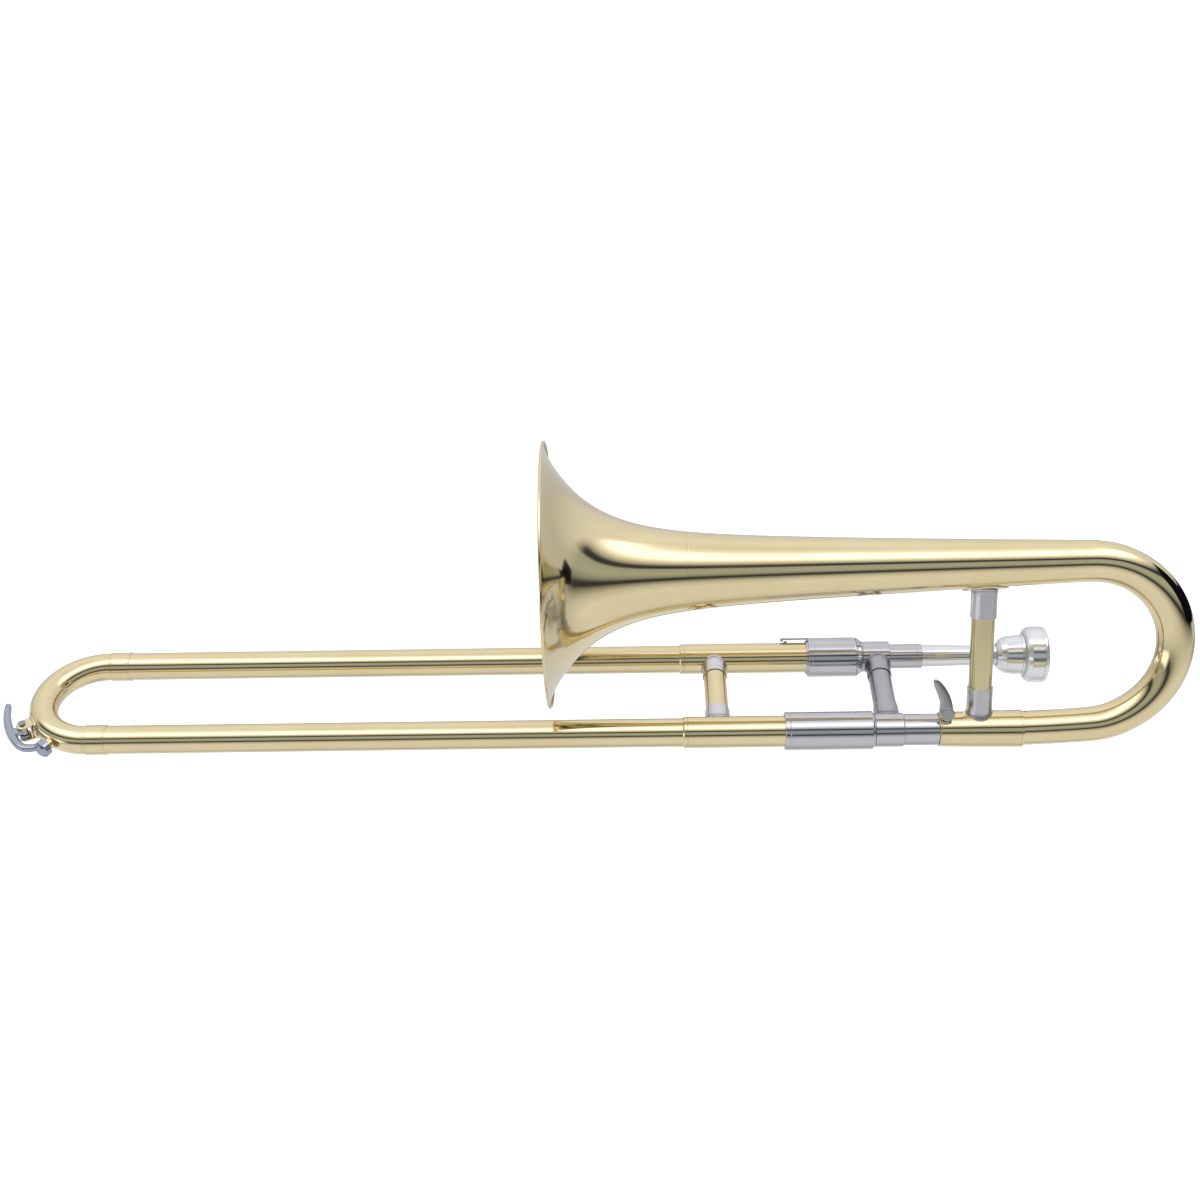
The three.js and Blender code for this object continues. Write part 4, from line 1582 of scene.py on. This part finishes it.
        bar = blade(
            sweep,
            self._lever_half,
            lambda t: 1.7 + 0.5 * np.clip((t - 0.5) / 0.5, 0, 1) ** 2,
            middle=self.lever_middle,
            power=2.6,
            ends=0.04,
            rings=96,
        ).moved(SLIDE.lower)
        bore, radius, near, far = self.hub_bore, self.hub_radius, self.hub_near, self.hub_far
        hub = turned(
            [(near, bore, 0), (far, bore, 0), (far, radius, 0.2), (near, radius, 0.2)], SMALL
        )
        hub = hub.moved(crosswise).moved(shifted(z=self.pivot_radius))
        web = blade(
            rising(0.0, self.pivot_radius + 0.9, self.pivot_radius + 5.1),
            lambda t: 1.7 + 1.2 * t,
            steady(1.6),
            middle=self.lever_middle,
            power=3.5,
            ends=0.1,
        )
        cup = turned(
            [
                (36.4, 0, 0),
                (36.4, 3.65, 0.1),
                (35.2, 3.75, 0.1),
                (35.2, self.cup_radius, 0.15),
                (38.2, self.cup_radius, 0.5),
                (39.2, 2.9, 0.6),
                (39.3, 0, 0),
            ],
            72,
            closed=False,
        ).moved(upright)
        shell = bar + (hub + web).moved(self._at(self.pivot_angle))
        shell = shell + cup.moved(self._at(self.cup_angle))
        # The lever's chrome carries painted shade: a darker, bluer copy of the bright chrome.
        piece = Piece("water_key", "chrome", self.finishes.chrome_key_painted_shade)
        piece.make("key_lever", shell, "water_key_lever")

    @staticmethod
    def _lever_half(t: Array) -> Array:
        """Half the lever's thickness: fullest in the middle, thinner at the touch."""
        return 1.6 + 0.6 * np.sin(math.pi * t) - 0.2 * t

    def _pad(self) -> None:
        """The cork pad in the cup."""
        low, high, radius = self.nipple_top + 0.05, self.pad_top, self.pad_radius
        pad = turned(
            [(low, 0, 0), (low, radius, 0.3), (high, radius, 0), (high, 0, 0)], SMALL, closed=False
        )
        piece = Piece("water_key", "cork", self.finishes.cork)
        shell = pad.moved(upright).moved(self._at(self.cup_angle))
        piece.make("key_pad", shell, "water_key_pad")


# ---------------------------------------------------------------------------------------------
# Mouthpiece
# ---------------------------------------------------------------------------------------------


@dataclass
class Mouthpiece:
    """One turned piece: shank, bowl, step and rim outside; backbore, throat and cup inside."""

    finishes: Finishes
    left: float = -0.8
    right: float = 83.8
    rim_radius: float = 13.7

    def build(self) -> None:
        """Turns the mouthpiece."""
        end, rim = self.right, self.rim_radius
        inside = [
            (self.left, 3.9, 0),
            (40.0, 2.6, 2.0),
            (end - 25, 1.9, 1.0),
            (end - 22, 1.9, 1.5),
            (end - 19, 3.6, 2.0),
            (end - 15, 6.2, 3.0),
            (end - 9.5, 7.9, 3.0),
            (end - 3, 8.6, 2.0),
        ]
        rim_and_bowl = [
            (end - 0.9, 9.3, 1.2),
            (end - 0.02, 10.8, 1.2),
            (end, 12.2, 0.8),
            (end - 0.7, 13.4, 0.8),
            (end - 2.0, rim, 0.8),
            *groove(end - 2.3, end - 2.8, (rim, rim - 0.16, rim), (0.1, 0.06, 0.05)),
            (end - 8.3, rim, 1.0),
            (end - 10.2, rim - 1.3, 0.6),
            (end - 10.8, 10.2, 0.8),
            (end - 12.2, 9.65, 0.6),
            (end - 16.0, 9.5, 4.0),
            (end - 19.8, 9.0, 3.0),
            (end - 22.4, 7.5, 2.0),
            (end - 24.0, 5.4, 1.5),
        ]
        shank = [
            (end - 25.6, 4.8, 1.5),
            (50.0, 4.8, 8.0),
            (30.0, 5.3, 8.0),
            (23.4, 5.3, 0.3),
            (self.left, 4.6, 0.3),
        ]
        shell = turned(inside + rim_and_bowl + shank, FINE).moved(SLIDE.upper)
        piece = Piece("mouthpiece", "silver_plate", self.finishes.silver)
        piece.make("mouthpiece_turned", shell, "mouthpiece")


# ---------------------------------------------------------------------------------------------
# Bell section
# ---------------------------------------------------------------------------------------------


@dataclass
class BellSection:
    """Socket, bow, bell and bell brace."""

    finishes: Finishes
    body: str = "bell_section"
    rim_x: float = -157.6
    seam_x: float = -93.5
    end_x: float = 86.0
    axis_z: float = 80.45
    toe: float = math.radians(0.68)
    wall: float = 0.8
    rim_wire: float = 0.75
    bow_centre_x: float = 89.6
    bow_half_length: float = 41.5
    bow_half_height: float = 39.55
    bow_left: float = 53.0
    socket_left: float = 23.7
    socket_right: float = 62.4
    socket_bore: float = 7.1
    socket_radius: float = 8.62
    slit_half_wide: float = 0.75
    slit_depth: float = 0.85
    clamp_x: float = 26.4
    lug_offset: float = 1.85
    brace_x: float = 42.5
    brace_low: float = 17.2
    brace_depth: float = 3.6
    lower_foot_top: float = 20.8
    upper_foot_height: float = 14.3
    upper_foot_radius: float = 6.0
    oval_thick: float = 0.9

    def build(self) -> None:
        """Builds every piece of the bell section."""
        self._flare()
        self._stem()
        self._bow()
        self._socket()
        self._brace()

    def _piece(self, material: bpy.types.Material, slot: str = "lacquered_brass") -> Piece:
        """A piece of this body in one finish."""
        return Piece(self.body, slot, material)

    @staticmethod
    def radius_at(from_rim: Array) -> Array:
        """Outer radius of the bell at a distance from its rim.

        A slow cone, plus a flare that dies away exponentially, plus a last turn at the rim.

        Args:
            from_rim: Distances from the rim.

        Returns:
            The radii.
        """
        cone_foot, taper, easing = 19.99, 0.0523, 0.0000409
        flare, flare_reach, lip = 38.0, 19.8, 3.2
        cone = cone_foot - taper * from_rim + easing * from_rim**2
        return cone + flare * np.exp(-from_rim / flare_reach) + lip * np.exp(-from_rim)

    def _on_axis(self, points: Array) -> Array:
        """Sets a turned piece on the bell's axis, which dips towards the rim.

        Args:
            points: The piece's points, about the X axis.

        Returns:
            The points in their place.
        """
        x = points[..., 0] - self.end_x
        cos, sin = math.cos(self.toe), math.sin(self.toe)
        return np.stack(
            [
                self.end_x + x * cos - points[..., 2] * sin,
                points[..., 1],
                self.axis_z + x * sin + points[..., 2] * cos,
            ],
            axis=-1,
        )

    def _walls(self, stations: Array) -> tuple[Array, Array]:
        """The bell's outer side and its inner side, set in along the normal by the wall.

        Args:
            stations: Distances from the rim, rising.

        Returns:
            x, radius and wear along the outside and along the inside.
        """
        step = 0.001
        outer = self.radius_at(stations)
        slope = (self.radius_at(stations + step) - outer) / step
        size = np.hypot(slope, 1)
        front = np.maximum(stations + slope * self.wall / size, 0.0)
        back = np.maximum(stations, self.wall)
        flat = np.zeros_like(stations)
        outside = np.stack([self.rim_x + back, outer, flat], axis=-1)
        inside = np.stack([self.rim_x + front, outer - self.wall / size, flat], axis=-1)
        return outside, inside

    def _flare(self) -> None:
        """The flare with its rim rolled over a wire; its rings stand closer towards the rim."""
        share = np.linspace(0, 1, 130)
        length = self.seam_x - self.rim_x
        stations = np.append(0.35 + (length - 0.38) * share**2.4, length)
        outside, inside = self._walls(stations)
        wire = self.rim_wire
        edge = float(self.radius_at(np.array(0.0)))
        angle = np.radians(np.linspace(-150, 90, 22))
        bead = np.stack(
            [
                self.rim_x + wire - wire * np.sin(angle) * 0.999,
                edge - wire + wire * np.cos(angle),
                np.concatenate([[-1, -1, -0.5], np.zeros(19)]),
            ],
            axis=-1,
        )
        crease = np.array([[self.rim_x + self.wall + 0.03, edge - 2 * wire + 0.05, -1.0]])
        keep = outside[:, 1] < edge - 2 * wire - 0.2
        face = inside[:, 1] < edge - wire - 0.4
        profile = np.concatenate([inside[face][::-1], bead[::-1], crease, outside[keep]])
        shell = Shell.from_grid(lathe_grid(profile, 2 * SMOOTH), profile[:, 2])
        brass = self._piece(self.finishes.brass)
        brass.make("flare", shell.moved(self._on_axis), "bell_flare")

    def _stem(self) -> None:
        """The stem, with a fine bead of solder where the flare joins it."""
        length = self.end_x - self.rim_x
        start = self.seam_x + 0.01 - self.rim_x
        stations = np.concatenate(
            [start + np.linspace(0, 1.2, 31), np.linspace(start + 2, length - 0.03, 60), [length]]
        )
        outside, inside = self._walls(stations)
        bead = np.exp(-(((stations - start - 0.45) / 0.28) ** 2))
        outside[:, 1] += 0.035 * bead
        outside[:, 2] = -0.3 * np.exp(-(((stations - start) / 0.25) ** 2))
        profile = np.concatenate([outside, inside[::-1]])
        shell = Shell.from_grid(lathe_grid(profile, FINE), profile[:, 2])
        brass = self._piece(self.finishes.brass)
        brass.make("stem", shell.moved(self._on_axis), "bell_stem")

    def _bow(self) -> None:
        """The bell bow, on a spline through its socket leg and a stretched half circle."""
        angle = np.radians(np.arange(-90, 91, 15))
        centre_z = self.axis_z - self.bow_half_height
        knots = np.concatenate(
            [
                [[self.bow_left, 0], [60, 0.1], [68, 0.3], [79, 0.75]],
                np.stack(
                    [
                        self.bow_centre_x + self.bow_half_length * np.cos(angle),
                        centre_z + self.bow_half_height * np.sin(angle),
                    ],
                    axis=-1,
                ),
                [[self.end_x + 0.01, self.axis_z]],
            ]
        )
        path = Path.through(knots)
        bow = bent_pipe(path, lambda share: 8 + 1.68 * share**2.2, self.wall, rings=240)
        self._piece(self.finishes.brass).make("bell_bow_bent", bow, "bell_bow")

    def _socket(self) -> None:
        """The socket that clamps on the slide's tenon, with its slit and its two lugs.

        The slit is a groove: points near the top sink by its depth where they lie within its
        width, along the first part of the socket.
        """
        left, step, right = self.socket_left, self.bow_left - 0.5, self.socket_right
        profile = rounded(
            [
                (left, self.socket_bore, 0.1),
                (step, self.socket_bore, 0),
                (step, 8.12, 0),
                (right, 8.3, 0),
                (right, 8.75, 0.15),
                *groove(right - 0.9, right - 1.25, (8.75, 8.62, 8.72)),
                (left + 14, 8.45, 3.0),
                *groove(left + 0.9, left + 0.55, (8.12, 8.0, 8.1)),
                (left, 8.1, 0.2),
            ]
        )
        outside, spread = 7.9, 0.6
        dense = [profile[0]]
        for before, after in zip(profile[:-1], profile[1:]):
            far = abs(after[0] - before[0])
            steps = max(1, int(far / spread)) if after[1] > outside else 1
            shares = np.linspace(0, 1, steps + 1)[1:, None]
            dense.extend(before + (after - before) * shares)
        profile = np.array(dense)
        grid = lathe_grid(profile, 4 * SMOOTH)
        top = (grid[..., 2] > 0) & (profile[:, 1:2] > outside)
        across = np.clip((self.slit_half_wide - np.abs(grid[..., 1])) / 0.3, 0, 1)
        along = np.clip((self.clamp_x + 10 - grid[..., 0]) / 0.4, 0, 1)
        grid[..., 2] -= self.slit_depth * top * across * along
        shell = Shell.from_grid(grid, profile[:, 2])
        for middle in (-self.lug_offset, self.lug_offset):
            shell = shell + blade(
                rising(self.clamp_x + 0.35, 6.9, 12.5),
                lambda t: 2.4 - 0.2 * t,
                steady(1.1),
                middle=middle,
                power=5,
                ends=0.16,
            )
        self._piece(self.finishes.brass).make("socket", shell, "bell_socket")

    def _brace(self) -> None:
        """The bell brace: brass tube, two nickel ends and the oval plate under the stem."""
        from_rim = self.brace_x - self.rim_x
        stem = float(self.radius_at(np.array(from_rim)))
        axis = self.axis_z - (self.end_x - self.brace_x) * math.sin(self.toe)
        along = shifted(x=self.brace_x)
        top = axis - stem - self.upper_foot_height
        tube = brace_tube(self.brace_low, top + self.brace_depth).moved(along)
        brass = self._piece(self.finishes.brass_upright)
        brass.make("bell_brace", tube, "bell_brace_tube")
        cast = self._piece(self.finishes.nickel_cast, "nickel_silver")
        lower = saddled_ferrule(self.socket_radius, self.lower_foot_top, 0.4).moved(along)
        cast.make("bell_brace_end_lower", lower, "bell_brace_foot_lower")
        upper = saddled_ferrule(stem + self.oval_thick, axis - top, 0.2, self.upper_foot_radius)
        upper = upper.moved(lambda points: points * np.array([1, -1, -1]))
        upper = upper.moved(shifted(x=self.brace_x, z=axis))
        cast.make("bell_brace_end_upper", upper, "bell_brace_foot_upper")

        def under_stem(u: Array, v: Array, height: Array) -> Array:
            """Lays the plate on the underside of the tapering stem.

            Args:
                u: Distance along the stem.
                v: Distance round it.
                height: Height over its surface.

            Returns:
                The points.
            """
            radius, turn = self.radius_at(from_rim + u) + height, v / stem
            grid = [self.brace_x + u, radius * np.sin(turn), -radius * np.cos(turn)]
            return self._on_axis(np.stack(grid, axis=-1))

        oval = patch(11.0, 7.9, 0.85, under_stem, power=2.1, sunk=0.3)
        self._piece(self.finishes.brass).make("bell_brace_oval", oval, "bell_brace_plate")


@dataclass
class ClampScrew:
    """The thumb screw that pinches the socket: shank, boss and a leaning leaf-shaped wing."""

    finishes: Finishes
    x: float = 26.4
    z: float = 10.4
    boss: float = -5.6
    boss_radius: float = 3.3
    shank_radius: float = 1.25
    shank_end: float = 4.2
    wing_height: float = 16.8
    wing_lean: float = 6.6

    def build(self) -> None:
        """Builds the screw as one piece."""
        back, face = self.boss, self.boss - 3.6
        stem = turned(
            [
                (face, 0, 0),
                (face, self.boss_radius, 0.5),
                (back - 0.3, self.boss_radius, 0.3),
                (back, 1.85, 0.3),
                (-3.2, 1.85, 0.15),
                (-3.2, self.shank_radius, 0.05),
                (self.shank_end, self.shank_radius, 0.3),
                (self.shank_end, 0, 0),
            ],
            72,
            closed=False,
        ).moved(crosswise)
        wing = blade(
            lambda t: (-self.wing_lean * t**1.9, self.wing_height * t),
            lambda t: 2.45 * np.clip(1 - t**3.5, 0, 1) ** 0.5 + 0.25,
            lambda t: 0.95 - 0.25 * t,
            middle=self.boss - 2.1,
            power=2.4,
            ends=0.05,
            rings=80,
        )
        shell = (stem + wing).moved(shifted(x=self.x, z=self.z))
        piece = Piece("clamp", "nickel_silver", self.finishes.nickel_worn)
        piece.make("clamp_wing_screw", shell, "clamp_screw")


# ---------------------------------------------------------------------------------------------
# Pieces that stay as the frame has them
# ---------------------------------------------------------------------------------------------


class HiddenPieces(Enum):
    """CAD solids that keep their shape, with the finish each one gets."""

    LEADPIPE = ("leadpipe", "brass")
    CORK_LOWER = ("bumper_cork_lower", "cork")
    CORK_UPPER = ("bumper_cork_upper", "cork")

    def dress(self, frame: dict[str, Any], finishes: Finishes) -> None:
        """Gives the solid its finish.

        Args:
            frame: The loaded frame.
            finishes: The shared finishes.
        """
        node, finish = self.value
        made = frame["nodes"][node]
        made.data.materials.clear()
        made.data.materials.append(getattr(finishes, finish))
        LOG.info("%s keeps its solid", node)


# ---------------------------------------------------------------------------------------------
# Studio
# ---------------------------------------------------------------------------------------------


@dataclass
class Studio:
    """White room round the instrument: pale floor, soft light, a black card and the camera.

    A row of front or back is a height in degrees and the colour of the light there.
    """

    camera_at: tuple[float, float, float] = (-0.1183, -0.7347, 0.2767)
    yaw: float = 1.153
    pitch: float = 16.052
    roll: float = 1.14
    lens: float = 50.0
    floor_z: float = -0.42
    flag_x: float = 0.2
    flag: tuple[tuple[float, float], ...] = (
        (-0.045, 0.045),
        (0.09, 0.045),
        (0.09, 0.085),
        (0.025, 0.085),
        (0.025, 0.14),
        (-0.01, 0.125),
        (-0.038, 0.108),
    )
    front: tuple[tuple[float, ...], ...] = (
        (-90, 0.62, 0.62, 0.64),
        (-70, 0.84, 0.84, 0.86),
        (-30, 0.86, 0.86, 0.90),
        (-18, 0.66, 0.66, 0.68),
        (-10, 0.26, 0.26, 0.26),
        (-7, 0.035, 0.035, 0.05),
        (-3, 0.05, 0.05, 0.07),
        (1, 0.30, 0.33, 0.32),
        (8, 0.46, 0.50, 0.50),
        (20, 0.42, 0.46, 0.46),
        (23, 0.04, 0.04, 0.06),
        (28, 0.05, 0.05, 0.07),
        (33, 0.50, 0.50, 0.50),
        (42, 1.15, 1.15, 1.20),
        (50, 1.90, 1.90, 2.15),
        (60, 1.90, 1.90, 2.15),
        (71, 1.15, 1.15, 1.20),
        (80, 0.90, 0.90, 0.92),
        (90, 0.86, 0.86, 0.88),
    )
    back: tuple[tuple[float, ...], ...] = (
        (-90, 0.62, 0.62, 0.64),
        (-78, 0.55, 0.55, 0.56),
        (-52, 0.88, 0.88, 0.92),
        (-18, 0.62, 0.62, 0.66),
        (10, 0.60, 0.60, 0.64),
        (24, 0.78, 0.78, 0.82),
        (47, 0.90, 0.90, 0.94),
        (66, 1.00, 1.00, 1.04),
        (90, 0.86, 0.86, 0.88),
    )

    def build(self) -> None:
        """Builds the floor, the card, the light and the camera."""
        self._floor()
        self._flag()
        self._light()
        self._camera()
        bpy.context.scene.view_settings.view_transform = "Standard"

    def _floor(self) -> None:
        """A wide pale floor, with a faint unevenness in its paint."""
        size = 8.0
        mesh = bpy.data.meshes.new("floor")
        corners = [(-size, -size), (size, -size), (size, size), (-size, size)]
        mesh.from_pydata([(x, y, self.floor_z) for x, y in corners], [], [(0, 1, 2, 3)])
        material = bpy.data.materials.new("pale_floor")
        material.use_nodes = True
        bench = Bench(material.node_tree)
        place = bench.node("ShaderNodeTexCoord", output="Object")
        cloud = bench.noise(place, 2.0, 3.0)
        colour = bench.mixed(cloud, (0.93, 0.93, 0.93, 1), (0.9, 0.9, 0.9, 1))
        shader = bench.node(
            "ShaderNodeBsdfPrincipled",
            inputs={
                "Base Color": colour,
                "Roughness": 0.7 + 0.2 * cloud,
                "Specular IOR Level": 0.0,
                "Emission Color": (1, 1, 1, 1),
                "Emission Strength": 0.45,
            },
        )
        bench.node("ShaderNodeOutputMaterial", inputs={"Surface": shader})
        mesh.materials.append(material)
        floor = bpy.data.objects.new("floor", mesh)
        bpy.context.scene.collection.objects.link(floor)
        floor.visible_glossy = False

    def _flag(self) -> None:
        """A black card beside the instrument, there for the metal to reflect and never seen."""
        mesh = bpy.data.meshes.new("flag")
        mesh.from_pydata([(self.flag_x, y, z) for y, z in self.flag], [], [range(len(self.flag))])
        material = bpy.data.materials.new("black_velvet")
        material.use_nodes = True
        bench = Bench(material.node_tree)
        place = bench.node("ShaderNodeTexCoord", output="Object")
        pile = bench.noise(place, 60.0, 3.0)
        colour = bench.mixed(pile, (0.002, 0.002, 0.006, 1), (0.006, 0.006, 0.014, 1))
        shader = bench.node(
            "ShaderNodeBsdfPrincipled",
            inputs={
                "Base Color": colour,
                "Roughness": 0.8 + 0.2 * pile,
                "Specular IOR Level": 0.0,
            },
        )
        bench.node("ShaderNodeOutputMaterial", inputs={"Surface": shader})
        mesh.materials.append(material)
        flag = bpy.data.objects.new("flag", mesh)
        bpy.context.scene.collection.objects.link(flag)
        flag.visible_camera = False
        flag.visible_diffuse = False
        flag.visible_shadow = False

    def _light(self) -> None:
        """A room of light that changes with height, one way in front and another behind.

        Height is the arcsine of a direction's z. The cosine of its bearing, -y over its level
        length, fades the front into the back. Dim gaps stand low on both sides, and an even
        patch stands at the left.
        """
        world = bpy.data.worlds.new("studio")
        bpy.context.scene.world = world
        world.use_nodes = True
        bench = Bench(world.node_tree)
        place = bench.node("ShaderNodeTexCoord", output="Generated")
        x, y, z = (
            bench.node("ShaderNodeSeparateXYZ", inputs={0: place}, output=k) for k in range(3)
        )
        level = (x * x + y * y + 0.0001) ** 0.5
        height = bench.node("ShaderNodeMath", {"operation": "ARCSINE"}, {0: z})
        share = height * (1 / math.pi) + 0.5
        top = 3.0

        def ramped(stops: tuple[tuple[float, ...], ...]) -> Value:
            """One side's colour by height."""
            scaled = [((at + 90) / 180, tuple(v / top for v in rgb)) for at, *rgb in stops]
            return bench.ramp(share, scaled)

        def window(value: Value, low: float, high: float, soft: float) -> Value:
            """1 between two limits, with soft ends."""
            rise = bench.between(value, low - soft, low + soft)
            return rise * (1 - bench.between(value, high - soft, high + soft))

        bearing = y * -1.0 / level
        room = bench.mixed(
            bench.between(bearing, -0.24, 0.08), ramped(self.back), ramped(self.front)
        )
        right = window(bearing, -0.55, -0.28, 0.06) * bench.between(x, 0.0, 0.2)
        left = window(bearing, -0.3, 0.02, 0.06) * bench.between(x * -1.0, 0.0, 0.2)
        sides = (right + left) * window(z, -0.38, -0.24, 0.05)
        room = bench.mixed(sides * 0.6, room, (0.05, 0.05, 0.06, 1))
        glow = window(z, -0.24, 0.0, 0.05) * bench.between(x * -1.0, 0.6, 0.85)
        room = bench.mixed(glow, room, (0.52, 0.52, 0.54, 1))
        seen = bench.node("ShaderNodeLightPath", output="Is Camera Ray")
        colour = bench.mixed(seen, room, (0.55, 0.55, 0.55, 1))
        shader = bench.node("ShaderNodeBackground", inputs={"Color": colour, "Strength": top})
        bench.node("ShaderNodeOutputWorld", inputs={"Surface": shader})

    def _camera(self) -> None:
        """The camera, on its tripod in front and a little above."""
        data = bpy.data.cameras.new("camera")
        data.lens = self.lens
        data.sensor_width = 36.0
        data.clip_start, data.clip_end = 0.01, 60.0
        camera = bpy.data.objects.new("camera", data)
        bpy.context.scene.collection.objects.link(camera)
        yaw, pitch, roll = (math.radians(a) for a in (self.yaw, self.pitch, self.roll))
        turn = (
            Matrix.Rotation(yaw, 4, "Z")
            @ Matrix.Rotation(math.pi / 2 - pitch, 4, "X")
            @ Matrix.Rotation(-roll, 4, "Z")
        )
        camera.matrix_world = Matrix.Translation(self.camera_at) @ turn
        bpy.context.scene.camera = camera


def main() -> None:
    """Builds the instrument over its frame, piece by piece, and the studio round it."""
    logging.basicConfig(level=logging.INFO, format="%(message)s")
    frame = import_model()
    Studio().build()
    finishes = Finishes()
    for part in (InnerSlide, SlideLock, OuterSlide, WaterKey, Mouthpiece, BellSection, ClampScrew):
        LOG.info("building %s", part.__name__)
        part(finishes).build()
    for hidden in HiddenPieces:
        hidden.dress(frame, finishes)


if __name__ == "__main__":
    main()
